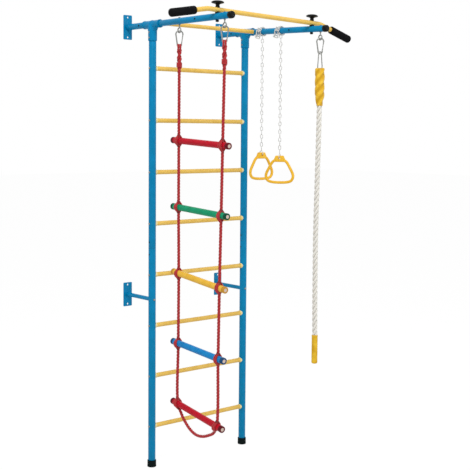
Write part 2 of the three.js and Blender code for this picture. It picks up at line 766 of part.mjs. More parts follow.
function addLadder() {
  const reaches = [ladderRearReach, ladderRearReach + ladderWidth];
  addHanger('left', reaches[0], 'ladder_rear');
  addHanger('left', reaches[1], 'ladder_front');
  add(wallBars, 'ladder_rope', ladderRope(reaches), redRope());
  ladderFinishes.forEach((paint, i) => {
    add(wallBars, `ladder_rung_${i + 1}`, ladderRungShape(i), paint());
  });
}

// A ring in its own frame: the hole is at the origin and the hand bar lies below it.
function ringShape() {
  const [w, h] = [(ringWidth - ringBar) / 2, ringHeight];
  const shoulder = ringBlockWidth / 2 - ringBar / 2;
  const base = ringHoleDiameter / 2 + ringHoleCover - ringBlockHeight;
  const side = [[shoulder, base + ringBar / 2], [w * 0.78, -h * 0.42], [w, -h * 0.74], [w * 0.88, -h * 0.93], [w * 0.6, -h]];
  const path = [...side, ...side.map(([x, z]) => [-x, z]).reverse()];
  const loop = closedRod(path.map(([x, z]) => new THREE.Vector3(x, 0, z)), ringBar, 28, 8);
  const top = base + ringBlockHeight;
  const block = new THREE.Shape();
  block.moveTo(-ringBlockWidth / 2, base);
  block.lineTo(ringBlockWidth / 2, base);
  block.lineTo(ringBlockWidth * 0.3, top);
  block.lineTo(-ringBlockWidth * 0.3, top);
  block.holes.push(new THREE.Path().absarc(0, 0, ringHoleDiameter / 2, 0, 2 * Math.PI, true));
  const plate = new THREE.ExtrudeGeometry(block, { depth: ringBlockThickness, bevelEnabled: false, curveSegments: 4 });
  const body = solid(loop).add(solid(plate.translate(0, 0, -ringBlockThickness / 2).rotateX(Math.PI / 2)));
  return geometryOf(body);
}

// A chain as the cross-shaped bar that its links fill, wrapped round the arm at the top. Its last link
// goes through the hole in the ring.
function chain(yaw, drop) {
  const wrapRadius = armDiameter / 2 + slip + chainWrap / 2;
  const wrap = new THREE.TorusGeometry(wrapRadius, chainWrap / 2, wireSides, tubeSides).rotateX(Math.PI / 2);
  const [w, t] = [chainWidth / 2, chainWire / 2];
  const cross = [[w, t], [t, t], [t, w], [-t, w], [-t, t], [-w, t], [-w, -t], [-t, -t], [-t, -w], [t, -w], [t, -t], [w, -t]];
  const section = new THREE.Shape(cross.map(([x, y]) => new THREE.Vector2(x, y)));
  const linkHalf = ringBlockThickness / 2 + slip + chainWire;
  const linkTop = ringHoleCover + ringHoleDiameter / 2 + 2 * chainWire;
  const length = drop - wrapRadius - linkTop + chainWire / 2;
  const bar = new THREE.ExtrudeGeometry(section, { depth: length, bevelEnabled: false });
  bar.translate(0, 0, -wrapRadius - length);
  const outline = [[0, linkTop], [linkHalf * 0.8, linkTop - 2], [linkHalf, linkTop / 2],
    [linkHalf * 0.82, linkSeat], [0, linkSeat]];
  const mirror = outline.slice(1, -1).map(([y, z]) => [-y, z]).reverse();
  const points = [...outline, ...mirror].map(([y, z]) => new THREE.Vector3(0, y, z - drop));
  const link = closedRod(points, chainWire, 16, wireSides).rotateZ(radians(yaw));
  return geometryOf(solid(wrap).add(solid(bar)).add(solid(link)));
}

function addRings() {
  ringReaches.forEach((reach, i) => {
    const top = armPoint('right', reach);
    add(groupAt(top), `ring_${i + 1}_chain`, chain(ringYaws[i], ringDrops[i]), zincSteel());
    const hole = top.clone().sub(new THREE.Vector3(0, 0, ringDrops[i]));
    add(groupAt(hole, [0, 0, ringYaws[i]]), `ring_${i + 1}`, ringShape(), yellowPlastic());
  });
}

// The bow that hangs in the spring hook, with its legs in the top of the sleeve. Its origin is the
// wire at the bottom of the hook.
function shackle(wire) {
  const half = shackleWidth / 2;
  const rise = (hookWire + shackleWire) / 2 + shackleRide;
  const top = arcPoints(0, rise - half, half, 0, 180, 8);
  const foot = rise - shackleHeight - shackleBite;
  const legs = [half, -half].map((x) => new THREE.Vector3(x, 0, foot));
  return bentRod([legs[0], ...top, legs[1]], wire, 16, 8).rotateZ(radians(shackleYaw));
}

function sleeveTopZ() {
  return (hookWire + shackleWire) / 2 + shackleRide - shackleHeight;
}

function ropeSleeve() {
  const top = sleeveTopZ();
  const end = top - ropeSleeveLength;
  const [r, e, bore] = [sleeveTopDiameter / 2, sleeveEndDiameter / 2, ropeDiameter / 2 + ropePlay];
  const profile = [[bore, end], [e, end], [r, end + ropeSleeveTaper], [r, top - 5], [r - 5, top], [0, top],
    [0, top - ropeSleeveTop], [bore, top - ropeSleeveTop], [bore, end]];
  return geometryOf(solid(turned(profile, tubeSides)).subtract(solid(shackle(shackleWire + 2 * slip))));
}

function ropePoints() {
  const top = sleeveTopZ() - ropeSleeveTop - slip;
  const low = sleeveTopZ() - ropeSleeveLength - ropeLength - whippingLength + whippingEnd + slip;
  const start = new THREE.Vector3(0, 0, top);
  const sleeveEnd = sleeveTopZ() - ropeSleeveLength;
  const whippingTop = low + whippingLength - whippingEnd;
  const wander = ropeBows.map((bow, i) => {
    const z = sleeveEnd + ((whippingTop - sleeveEnd) * i) / (ropeBows.length - 1);
    return new THREE.Vector3(0, bow, z);
  });
  const end = new THREE.Vector3(0, ropeBows.at(-1), low);
  return [start, ...wander, end];
}

function whipping() {
  const [r, bore] = [whippingDiameter / 2, ropeDiameter / 2 + ropePlay];
  const low = sleeveTopZ() - ropeSleeveLength - ropeLength - whippingLength;
  const high = low + whippingLength;
  const profile = [[0, low], [r - 3, low], [r, low + 3], [r, high - 3], [r - 2, high], [bore, high],
    [bore, low + whippingEnd], [0, low + whippingEnd]];
  return geometryOf(solid(turned(profile, tubeSides))).translate(0, ropeBows.at(-1), 0);
}

function addClimbingRope() {
  addHanger('right', ropeReach, 'rope');
  const hang = groupAt(hookBottom('right', ropeReach));
  add(hang, 'rope_shackle', shackle(shackleWire), zincSteel());
  add(hang, 'rope_sleeve', ropeSleeve(), yellowPlastic());
  add(hang, 'climbing_rope', bentRod(ropePoints(), ropeDiameter, 28, 10), paleRope());
  add(hang, 'rope_end_whipping', whipping(), yellowPlastic());
}

addPosts();
addRungs();
addTees();
addArms();
addCrossbar();
addBrackets();
addPullUpBar();
addLadder();
addRings();
addClimbingRope();

export default wallBars;
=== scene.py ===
import math

import bpy
from mathutils import Matrix, Vector


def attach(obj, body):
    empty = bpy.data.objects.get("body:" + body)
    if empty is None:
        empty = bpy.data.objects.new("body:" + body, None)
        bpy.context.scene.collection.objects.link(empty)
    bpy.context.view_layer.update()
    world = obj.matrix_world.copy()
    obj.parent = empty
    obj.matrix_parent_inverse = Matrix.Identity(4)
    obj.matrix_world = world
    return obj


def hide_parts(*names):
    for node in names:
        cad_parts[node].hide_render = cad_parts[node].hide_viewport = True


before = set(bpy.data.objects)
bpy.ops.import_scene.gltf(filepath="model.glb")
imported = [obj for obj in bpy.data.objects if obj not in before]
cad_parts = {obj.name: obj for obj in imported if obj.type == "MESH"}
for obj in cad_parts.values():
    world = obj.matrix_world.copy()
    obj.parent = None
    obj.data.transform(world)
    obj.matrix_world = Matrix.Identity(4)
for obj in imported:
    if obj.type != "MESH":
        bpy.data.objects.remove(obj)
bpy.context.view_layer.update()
mm = 0.001
up = Vector((0, 0, 1))

# the set's own sizes, in millimetres, shared by several pieces
setSize = {
    "postX": 295, "postY": -210, "arm": 30, "armZ": 2162, "armReach": 592, "sides": {"left": -1, "right": 1},
    "sagPivot": 31.25, "sag": {"left": 0.0, "right": 1.9},
}


def sideX(side):
    return setSize["sides"][side] * setSize["postX"]


def armPoint(side, reach, above=0.0):
    # point on the axis of an arm, or above it, square to the arm
    sag = math.radians(setSize["sag"][side])
    along = reach - setSize["sagPivot"]
    y = setSize["postY"] - setSize["sagPivot"] - along * math.cos(sag) - above * math.sin(sag)
    z = setSize["armZ"] - along * math.sin(sag) + above * math.cos(sag)
    return Vector((sideX(side), y, z)) * mm


# camera: the photograph's own viewpoint
view = {
    "place": (-3259.7, -4260.8, 1653.8), "heading": 40.786, "down": 4.077, "roll": 0.436,
    "focal": 1033.9, "frame": 470, "raise": -30, "sensor": 36,
}


def addCamera():
    a, e, r = (math.radians(view[k]) for k in ("heading", "down", "roll"))
    forward = Vector((math.sin(a) * math.cos(e), math.cos(a) * math.cos(e), -math.sin(e)))
    right = Vector((math.cos(a), -math.sin(a), 0))
    top = right.cross(forward)
    level = right * math.cos(r) + top * math.sin(r)
    crest = -right * math.sin(r) + top * math.cos(r)
    turn = Matrix((level, crest, -forward)).transposed().to_4x4()
    bpy.ops.object.camera_add()
    camera = bpy.context.object
    camera.name = "photoCamera"
    camera.matrix_world = Matrix.Translation(Vector(view["place"]) * mm) @ turn
    camera.data.sensor_width = view["sensor"]
    camera.data.lens = view["focal"] / view["frame"] * view["sensor"]
    camera.data.shift_y = view["raise"] / view["frame"]
    bpy.context.scene.camera = camera


addCamera()
print("camera set")


# materials
def linear(text):
    parts = [int(text[i:i + 2], 16) / 255 for i in (1, 3, 5)]
    return tuple(c / 12.92 if c <= 0.04045 else ((c + 0.055) / 1.055) ** 2.4 for c in parts) + (1.0,)


def addNode(tree, kind, settings=None, links=None):
    node = tree.nodes.new(kind)
    for key, value in (settings or {}).items():
        if key in node.inputs:
            node.inputs[key].default_value = value
        else:
            setattr(node, key, value)
    for key, source in (links or {}).items():
        tree.links.new(source, node.inputs[key])
    return node


def startMaterial(name, **sockets):
    material = bpy.data.materials.new(name)
    material.use_nodes = True
    tree = material.node_tree
    shader = tree.nodes["Principled BSDF"]
    for key, value in sockets.items():
        shader.inputs[key.replace("_", " ")].default_value = value
    return material, tree, shader


def mottle(tree, shader, hexes, perMetre, bump=0.0, bumpPerMetre=400, roughness=None):
    # colour that drifts between two tones, a fine relief and uneven gloss
    where = addNode(tree, "ShaderNodeTexCoord").outputs["Object"]
    cloud = addNode(tree, "ShaderNodeTexNoise", {"Scale": perMetre, "Detail": 4.0}, {"Vector": where})
    ramp = addNode(tree, "ShaderNodeValToRGB", links={"Fac": cloud.outputs["Fac"]})
    for stop, (place, tone) in zip(ramp.color_ramp.elements, zip((0.3, 0.7), hexes)):
        stop.position = place
        stop.color = linear(tone)
    tree.links.new(ramp.outputs["Color"], shader.inputs["Base Color"])
    if roughness:
        spread = addNode(tree, "ShaderNodeMapRange", {"To Min": roughness[0], "To Max": roughness[1]},
                         {"Value": cloud.outputs["Fac"]})
        tree.links.new(spread.outputs["Result"], shader.inputs["Roughness"])
    if bump:
        grain = addNode(tree, "ShaderNodeTexNoise", {"Scale": bumpPerMetre, "Detail": 2.0}, {"Vector": where})
        relief = addNode(tree, "ShaderNodeBump", {"Strength": 0.35, "Distance": bump * mm},
                         {"Height": grain.outputs["Fac"]})
        tree.links.new(relief.outputs["Normal"], shader.inputs["Normal"])


def powderCoat(name, hexes):
    # powder coat on steel tube: even colour, soft orange peel of 3 to 4 mm, clear gloss
    material, tree, shader = startMaterial(name, Roughness=0.3, IOR=1.45, Specular_IOR_Level=0.12)
    mottle(tree, shader, hexes, 18, bump=0.06, bumpPerMetre=300, roughness=(0.26, 0.38))
    return material


def mouldedPlastic(name, hexes, roughness, coat=0.0):
    # injection moulded plastic: faint flow marks and a satin to glossy skin
    material, tree, shader = startMaterial(name, IOR=1.49, Specular_IOR_Level=0.1, Coat_Weight=coat,
                                           Coat_Roughness=0.15)
    mottle(tree, shader, hexes, 30, bump=0.05, bumpPerMetre=500, roughness=roughness)
    return material


def ropeFibre(name, hexes, groove):
    # twisted fibre: yarns along each strand, with painted shade where two strands meet (depth is 0 there and
    # 1 outside)
    material, tree, shader = startMaterial(name, Roughness=0.85, IOR=1.45, Sheen_Weight=0.2,
                                           Sheen_Roughness=0.5)
    where = addNode(tree, "ShaderNodeUVMap", {"uv_map": "lay"}).outputs["UV"]
    lined = addNode(tree, "ShaderNodeMapping", {"Scale": (14.0, 1.1, 1.0)}, {"Vector": where})
    hair = addNode(tree, "ShaderNodeTexNoise", {"Scale": 1.0, "Detail": 5.0},
                   {"Vector": lined.outputs["Vector"]})
    ramp = addNode(tree, "ShaderNodeValToRGB", links={"Fac": hair.outputs["Fac"]})
    for stop, (place, tone) in zip(ramp.color_ramp.elements, zip((0.34, 0.66), hexes)):
        stop.position = place
        stop.color = linear(tone)
    # painted shade: the groove colour darkens the fibre towards the rope's axis, in the creases between the
    # strands
    depth = addNode(tree, "ShaderNodeAttribute", {"attribute_name": "depth"})
    shade = addNode(tree, "ShaderNodeMapRange", {"From Min": 0.5, "From Max": 0.97},
                    {"Value": depth.outputs["Fac"]})
    mix = addNode(tree, "ShaderNodeMix", {"data_type": "RGBA"}, {"Factor": shade.outputs["Result"]})
    mix.inputs[6].default_value = linear(groove)  # colour A
    tree.links.new(ramp.outputs["Color"], mix.inputs[7])  # colour B
    relief = addNode(tree, "ShaderNodeBump", {"Strength": 0.6, "Distance": 0.6 * mm},
                     {"Height": hair.outputs["Fac"]})
    tree.links.new(mix.outputs[2], shader.inputs["Base Color"])
    tree.links.new(relief.outputs["Normal"], shader.inputs["Normal"])
    return material


def zincPlate(name, hexes, metal):
    # zinc on steel wire: grey metal with cloudy patches, duller where it is galvanised
    material, tree, shader = startMaterial(name, Metallic=metal, Roughness=0.35)
    mottle(tree, shader, hexes, 160, bump=0.04, bumpPerMetre=900, roughness=(0.28, 0.5))
    return material


def foamRubber(name, hexes):
    # closed-cell foam and cast rubber: matt black with a fine pebbled skin
    material, tree, shader = startMaterial(name, IOR=1.45, Specular_IOR_Level=0.06)
    mottle(tree, shader, hexes, 60, bump=0.5, bumpPerMetre=420, roughness=(0.7, 0.9))
    return material


def shrunkVinyl(name, hexes, hollow):
    # vinyl shrunk over a rope: bright and satin on the strands, with painted shade of dull ochre in the
    # hollows between them
    material, tree, shader = startMaterial(name, IOR=1.49, Specular_IOR_Level=0.2)
    mottle(tree, shader, hexes, 55, bump=0.08, bumpPerMetre=500, roughness=(0.35, 0.5))
    tone = shader.inputs["Base Color"].links[0].from_socket
    # painted shade: the hollow colour darkens the vinyl where the swell attribute is low, between the strands
    swell = addNode(tree, "ShaderNodeAttribute", {"attribute_name": "swell"})
    mix = addNode(tree, "ShaderNodeMix", {"data_type": "RGBA"}, {"Factor": swell.outputs["Fac"]})
    mix.inputs[6].default_value = linear(hollow)  # colour A
    tree.links.new(tone, mix.inputs[7])  # colour B
    tree.links.new(mix.outputs[2], shader.inputs["Base Color"])
    return material


def beech(name):
    # end of a pale wooden core: grain lines about 3 mm apart, uneven as sawn wood shows them
    material, tree, shader = startMaterial(name, Roughness=0.7, IOR=1.45)
    where = addNode(tree, "ShaderNodeTexCoord").outputs["Object"]
    rings = addNode(tree, "ShaderNodeTexWave", {"wave_type": "RINGS", "Scale": 100.0, "Distortion": 3.0},
                    {"Vector": where})
    ramp = addNode(tree, "ShaderNodeValToRGB", links={"Fac": rings.outputs["Fac"]})
    ramp.color_ramp.elements[0].color = linear("#CDB5A6")
    ramp.color_ramp.elements[1].color = linear("#E2CFC1")
    tree.links.new(ramp.outputs["Color"], shader.inputs["Base Color"])
    return material


bluePaint = powderCoat("bluePowderCoat", ("#027CAA", "#0686BA"))
yellowPaint = powderCoat("yellowPowderCoat", ("#E6BC58", "#EFC86A"))
# the pale collar colour is partly a painted highlight on the rung ends
paleYellow = mouldedPlastic("paleYellowCollar", ("#E9D58E", "#F2E4AE"), (0.3, 0.45))
footRubber = foamRubber("castRubber", ("#0C1616", "#121C1C"))
gripFoam = foamRubber("closedCellFoam", ("#0E0E10", "#161618"))
blackPlastic = mouldedPlastic("blackAbs", ("#0C0D0D", "#131414"), (0.3, 0.45))
zincSteel = zincPlate("brightZincPlate", ("#7E7F7B", "#A0A19D"), 0.75)
chainZinc = zincPlate("paleGalvanisedChain", ("#BDBDBA", "#E6E6E3"), 0.3)
ringPlastic = mouldedPlastic("yellowPolypropylene", ("#EEB62C", "#F7C544"), (0.25, 0.35), coat=0.06)
# the last colour of the sleeve is painted shade for the hollows between the strands
sleevePlastic = shrunkVinyl("yellowVinylSleeve", ("#E2AE1C", "#FAD046"), "#CE9D1A")
whippingCord = mouldedPlastic("yellowWhippingCord", ("#D2A120", "#F2C73C"), (0.5, 0.65))
# the third colour of each rope is painted shade for the creases between its strands
redRope = ropeFibre("redPolypropyleneRope", ("#98161C", "#C42A30"), "#38080A")
paleRope = ropeFibre("paleCottonRope", ("#DAD6CC", "#F1EFE8"), "#56524A")
rungTones = {
    "red": ("#B0081F", "#C40C26"), "green": ("#078C60", "#0E9C6E"),
    "yellow": ("#E8B434", "#F2C24A"), "blue": ("#0C7CBE", "#128ACE"),
}
# painted shade: the rung end caps are darker copies of the rung colours, as the rung ends face away from the
# light
shadedCapTones = {
    "red": ("#5A0A18", "#6E1020"), "green": ("#06402E", "#0A5038"),
    "yellow": ("#C08A2A", "#CE9A38"), "blue": ("#173F66", "#204C78"),
}
rungPlastics = {colour: mouldedPlastic(f"{colour}PolyethyleneTube", tones, (0.3, 0.42), coat=0.02)
                for colour, tones in rungTones.items()}
shadedCapPlastics = {colour: mouldedPlastic(f"dark{colour.title()}EndCap", tones, (0.4, 0.55))
               for colour, tones in shadedCapTones.items()}
woodCore = beech("beechCore")
print("materials made")


# modelling helpers
def clearSelection():
    if bpy.context.object and bpy.context.object.mode != "OBJECT":
        bpy.ops.object.mode_set(mode="OBJECT")
    bpy.ops.object.select_all(action="DESELECT")


def takeUp(*pieces):
    clearSelection()
    for piece in pieces:
        piece.select_set(True)
    bpy.context.view_layer.objects.active = pieces[0]
    return pieces[0]


def applyModifier(piece, kind, **settings):
    takeUp(piece)
    modifier = piece.modifiers.new(kind.lower(), kind)
    for key, value in settings.items():
        setattr(modifier, key, value)
    bpy.ops.object.modifier_apply(modifier=modifier.name)
    return piece


def settle(piece):
    takeUp(piece)
    bpy.ops.object.transform_apply(location=True, rotation=True, scale=True)
    return piece


def joined(pieces):
    takeUp(*pieces)
    if len(pieces) > 1:
        bpy.ops.object.join()
    return bpy.context.object


def united(body, *others):
    for other in others:
        applyModifier(body, "BOOLEAN", operation="UNION", object=other, solver="EXACT")
        bpy.data.objects.remove(other)
    return body


def cut(body, *tools):
    for tool in tools:
        applyModifier(body, "BOOLEAN", operation="DIFFERENCE", object=tool, solver="EXACT")
        bpy.data.objects.remove(tool)
    return body


def softened(piece, width, segments=2):
    return applyModifier(piece, "BEVEL", width=width * mm, segments=segments, limit_method="ANGLE",
                         angle_limit=math.radians(40))


def finishPiece(piece, name, body, material, nodes=(), angle=35):
    settle(piece)
    piece.name = name
    piece.data.name = name
    piece.data.materials.clear()
    piece.data.materials.append(material)
    for face in piece.data.polygons:
        face.material_index = 0
    bpy.ops.object.shade_smooth_by_angle(angle=math.radians(angle))
    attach(piece, body)
    if nodes:
        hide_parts(*nodes)
    return piece


def aimed(direction):
    return Vector(direction).to_track_quat("Z", "Y").to_euler()


def heading(degrees):
    # level direction, turned from the set's x axis
    a = math.radians(degrees)
    return Vector((math.cos(a), math.sin(a), 0))


def pieceName(words):
    first, *rest = words.split("_")
    return first + "".join(w.title() for w in rest)


def newPiece(name, data):
    piece = bpy.data.objects.new(name, data)
    bpy.context.scene.collection.objects.link(piece)
    return piece


def editWhole(piece, merge=0.0, outward=True):
    # merges doubled points, as far apart as merge in millimetres, and turns the faces outwards
    takeUp(piece)
    bpy.ops.object.mode_set(mode="EDIT")
    bpy.ops.mesh.select_all(action="SELECT")
    if merge:
        bpy.ops.mesh.remove_doubles(threshold=merge * mm)
    if outward:
        bpy.ops.mesh.normals_make_consistent(inside=False)
    bpy.ops.object.mode_set(mode="OBJECT")
    return piece


def roundBar(start, end, diameter, sides=32, fill="NGON"):
    clearSelection()
    bpy.ops.mesh.primitive_cylinder_add(vertices=sides, radius=diameter / 2 * mm, depth=(end - start).length,
                                        end_fill_type=fill, location=(start + end) / 2,
                                        rotation=aimed(end - start))
    return settle(bpy.context.object)


def roundTube(start, end, outer, wall, sides=40):
    # an open cylinder given its wall from outside to inside
    tube = roundBar(start, end, outer, sides, fill="NOTHING")
    applyModifier(tube, "SOLIDIFY", thickness=wall * mm, offset=-1, use_even_offset=True)
    return softened(tube, 0.5)


def turnedPiece(profile, place, direction=up, sides=48):
    # a profile of (radius, height) in millimetres, spun about its axis
    mesh = bpy.data.meshes.new("profile")
    points = [(r * mm, 0, z * mm) for r, z in profile]
    mesh.from_pydata(points, [(i, i + 1) for i in range(len(points) - 1)], [])
    piece = newPiece("profile", mesh)
    applyModifier(piece, "SCREW", angle=2 * math.pi, steps=sides, render_steps=sides, use_merge_vertices=True,
                  merge_threshold=0.00001, use_smooth_shade=True)
    editWhole(piece, merge=0.01)
    piece.location = place
    piece.rotation_euler = aimed(direction)
    return settle(piece)


def slab(outline, place, along, across, thick):
    # a closed plate from an outline of (along, up) in millimetres
    n = len(outline)
    points = [place + along * x * mm + up * z * mm + across * s * (thick / 2) * mm
              for s in (-1, 1) for x, z in outline]
    faces = [tuple(range(n)), tuple(range(2 * n - 1, n - 1, -1))]
    faces += [(i, i + n, (i + 1) % n + n, (i + 1) % n) for i in range(n)]
    mesh = bpy.data.meshes.new("slab")
    mesh.from_pydata([tuple(p) for p in points], [], faces)
    return editWhole(newPiece("slab", mesh))


def bentBar(points, diameter, closed=False, sides=5, radii=None):
    # wire or tube along points that already lie close together
    curve = bpy.data.curves.new("wire", "CURVE")
    curve.dimensions = "3D"
    curve.bevel_depth = diameter / 2 * mm
    curve.bevel_resolution = sides
    curve.use_fill_caps = True
    spline = curve.splines.new("POLY")
    spline.points.add(len(points) - 1)
    for i, point in enumerate(points):
        spline.points[i].co = (*point, 1)
        spline.points[i].radius = radii[i] if radii else 1
    spline.use_cyclic_u = closed
    takeUp(newPiece("wire", curve))
    bpy.ops.object.convert(target="MESH")
    return editWhole(bpy.context.object)


def arc(centre, radius, fromDeg, toDeg, count, acrossAxis, upAxis=up):
    made = []
    for i in range(count + 1):
        a = math.radians(fromDeg + (toDeg - fromDeg) * i / count)
        across = Vector(acrossAxis) * radius * mm * math.cos(a)
        rise = upAxis * radius * mm * math.sin(a)
        made.append(Vector(centre) + across + rise)
    return made


def smoothLine(points, perSpan=8):
    # a curve through given points, the same kind as the CAD route
    points = [Vector(p) for p in points]
    ends = [points[0] * 2 - points[1], *points, points[-1] * 2 - points[-2]]
    line = []
    for i in range(1, len(ends) - 2):
        a, b, c, d = ends[i - 1:i + 3]
        t = [0.0]
        for p, q in ((a, b), (b, c), (c, d)):
            t.append(t[-1] + max((q - p).length, 1e-6) ** 0.5)
        for k in range(perSpan):
            s = t[1] + (t[2] - t[1]) * k / perSpan
            ab = a.lerp(b, (s - t[0]) / (t[1] - t[0]))
            bc = b.lerp(c, (s - t[1]) / (t[2] - t[1]))
            cd = c.lerp(d, (s - t[2]) / (t[3] - t[2]))
            abc = ab.lerp(bc, (s - t[0]) / (t[2] - t[0]))
            bcd = bc.lerp(cd, (s - t[1]) / (t[3] - t[1]))
            line.append(abc.lerp(bcd, (s - t[1]) / (t[2] - t[1])))
    return line + [points[-1]]


def evenLine(points, step):
    # the same line with points a fixed step apart
    lengths = [0.0]
    for p, q in zip(points, points[1:]):
        lengths.append(lengths[-1] + (q - p).length)
    count = max(2, round(lengths[-1] / step))
    line, k = [], 0
    for i in range(count + 1):
        s = lengths[-1] * i / count
        while k < len(lengths) - 2 and lengths[k + 1] < s:
            k += 1
        line.append(points[k].lerp(points[k + 1], (s - lengths[k]) / (lengths[k + 1] - lengths[k])))
    return line


# posts, feet and rungs
posts = {"outer": 36, "wall": 2, "splice": 1083, "gap": 0.15, "foot": 6.3, "top": 2134}
foot = {"radius": 22, "bore": 18.3, "height": 34, "base": 6}
rungs = {"count": 8, "pitch": 250, "lowest": 203, "outer": 22, "wall": 1.5, "half": 305.5}
collars = {"reach": 280, "bore": 11.1, "radius": 13, "back": -9, "front": 8, "edge": 0.6}


def postFoot(side):
    return Vector((sideX(side), setSize["postY"], 0)) * mm


def rungHeight(i):
    return rungs["lowest"] + i * rungs["pitch"]


def addPosts():
    spans = {"lower": (posts["foot"], posts["splice"] - posts["gap"]),
             "upper": (posts["splice"] + posts["gap"], posts["top"])}
    r, b, h, base = (foot[key] for key in ("radius", "bore", "height", "base"))
    profile = [(0, 0), (r - 3, 0), (r - 1, 0.8), (r, 2.5), (r, 9), (r - 0.5, 10), (r - 0.5, h - 2),
               (r - 1, h - 0.6), (r - 2, h), (b, h), (b, base), (0, base)]
    for side in setSize["sides"]:
        ground = postFoot(side)
        for part, (low, high) in spans.items():
            ends = [ground + up * z * mm for z in (low, high)]
            tube = roundTube(*ends, posts["outer"], posts["wall"], 48)
            finishPiece(tube, f"{side}Post{part.title()}", "frame", bluePaint,
                        [f"{side}_post_{part}"])
        finishPiece(turnedPiece(profile, ground), f"{side}FootCap", "frame", footRubber,
                    [f"{side}_foot_cap"])


def addRungs():
    for i in range(rungs["count"]):
        ends = [Vector((s * rungs["half"], setSize["postY"], rungHeight(i))) * mm for s in (-1, 1)]
        tube = roundTube(*ends, rungs["outer"], rungs["wall"], 36)
        finishPiece(tube, f"rung{i + 1}", "frame", yellowPaint, [f"rung_{i + 1}"])


def addRungCollars():
    # pale collars where the rungs enter the posts; their pale tone is partly a painted highlight on the rung
    # ends
    b, r, back, front, edge = (collars[key] for key in ("bore", "radius", "back", "front", "edge"))
    profile = [(b, back), (r - edge, back), (r, back + edge), (r, front), (b, front), (b, back)]
    made = []
    for i in range(rungs["count"]):
        for sign in (-1, 1):
            place = Vector((sign * collars["reach"], setSize["postY"], rungHeight(i))) * mm
            made.append(turnedPiece(profile, place, (sign, 0, 0), 32))
    finishPiece(joined(made), "rungCollars", "frame", paleYellow)


addPosts()
addRungs()
addRungCollars()
print("posts and rungs made")


# tees, arms, crossbar and wall brackets
tees = {
    "collar": 37, "bead": 39.6, "beads": ((-1, -0.9), (-0.05, 0.05), (0.9, 1)), "length": 125, "sleeve": 43,
    "drop": 78, "fillet": 14, "sink": 3, "web": 26, "socket": 36.6, "depth": 50, "play": 0.3,
}
arms = {"wall": 2, "start": 2, "capRadius": 16.5, "capLength": 22, "capEnd": 5, "play": 0.3}
crossbar = {"reach": 75, "outer": 20, "wall": 1.5, "play": 0.3, "notch": 200}
plates = {
    "width": 50, "height": 120, "thick": 4, "corner": 4, "hole": 9, "drill": 10, "spacing": 97,
    "lowerZ": 832, "rod": 20, "sink": 0.1, "play": 0.3, "notch": 50,
}


def teeWeb(centre):
    # plate with a hollow fillet on both sides, under the collar
    half, r = tees["sleeve"] / 2, tees["fillet"]
    low = -tees["collar"] / 2 - r + tees["sink"]
    quarter = [math.radians(90 * i / 8) for i in range(9)]
    outline = [(-half - r + r * math.cos(a), low + r * math.sin(a)) for a in quarter]
    outline += [(-half - r, 0), (half + r, 0)]
    outline += [(half + r - r * math.sin(a), low + r * math.cos(a)) for a in quarter]
    return slab(outline, centre, Vector((0, 1, 0)), Vector((1, 0, 0)), tees["web"])


def addTees():
    reach = Vector((0, tees["length"] / 2, 0)) * mm
    for side in setSize["sides"]:
        centre = Vector((sideX(side), setSize["postY"], setSize["armZ"])) * mm
        collar = roundBar(centre - reach, centre + reach, tees["collar"], 48)
        sleeve = roundBar(centre, centre - up * tees["drop"] * mm, tees["sleeve"], 48)
        beads = [roundBar(centre + reach * low, centre + reach * high, tees["bead"], 48)
                 for low, high in tees["beads"]]
        tee = united(collar, sleeve, teeWeb(centre), *beads)
        # the front mouth leaves room for the arm's sag
        play = tees["play"] + setSize["sagPivot"] * math.sin(math.radians(setSize["sag"][side]))
        low = centre - up * (tees["drop"] + 1) * mm
        cut(tee, roundBar(low, low + up * (tees["depth"] + 1 + tees["play"]) * mm, tees["socket"], 48),
            roundBar(centre - reach * 1.02, centre, setSize["arm"] + 2 * play, 48),
            roundBar(centre, centre + reach * 1.02, setSize["arm"] + 2 * tees["play"], 48))
        softened(tee, 1.2, 3)
        finishPiece(tee, f"{side}Tee", "frame", bluePaint, [f"{side}_tee_fitting"], angle=50)


def addArms():
    r, n = arms["capRadius"], arms["capLength"]
    bore, end = setSize["arm"] / 2 + arms["play"], n - arms["capEnd"]
    profile = [(bore, 0), (r - 0.4, 0), (r, 0.6), (r, n - 7), (r - 0.7, n - 3.6), (r - 2.4, n - 1.4),
               (r - 5, n - 0.3), (r - 8, n), (0, n), (0, end), (bore, end), (bore, 0)]
    tip = setSize["armReach"] - arms["capEnd"] - arms["play"]
    for side in setSize["sides"]:
        tube = roundTube(armPoint(side, arms["start"]), armPoint(side, tip), setSize["arm"], arms["wall"], 44)
        finishPiece(tube, f"{side}Arm", "frame", bluePaint, [f"{side}_arm"])
        back = armPoint(side, setSize["armReach"] - n)
        cap = turnedPiece(profile, back, armPoint(side, setSize["armReach"]) - back)
        finishPiece(cap, f"{side}ArmCap", "frame", blackPlastic, [f"{side}_arm_cap"])


def addCrossbar():
    bar = roundTube(*[armPoint(side, crossbar["reach"]) for side in setSize["sides"]], crossbar["outer"],
                    crossbar["wall"], 32)
    notch = setSize["arm"] + 2 * crossbar["play"]
    cut(bar, *[roundBar(armPoint(side, 0), armPoint(side, crossbar["notch"]), notch, 44)
               for side in setSize["sides"]])
    finishPiece(bar, "crossbar", "frame", yellowPaint, ["crossbar"])


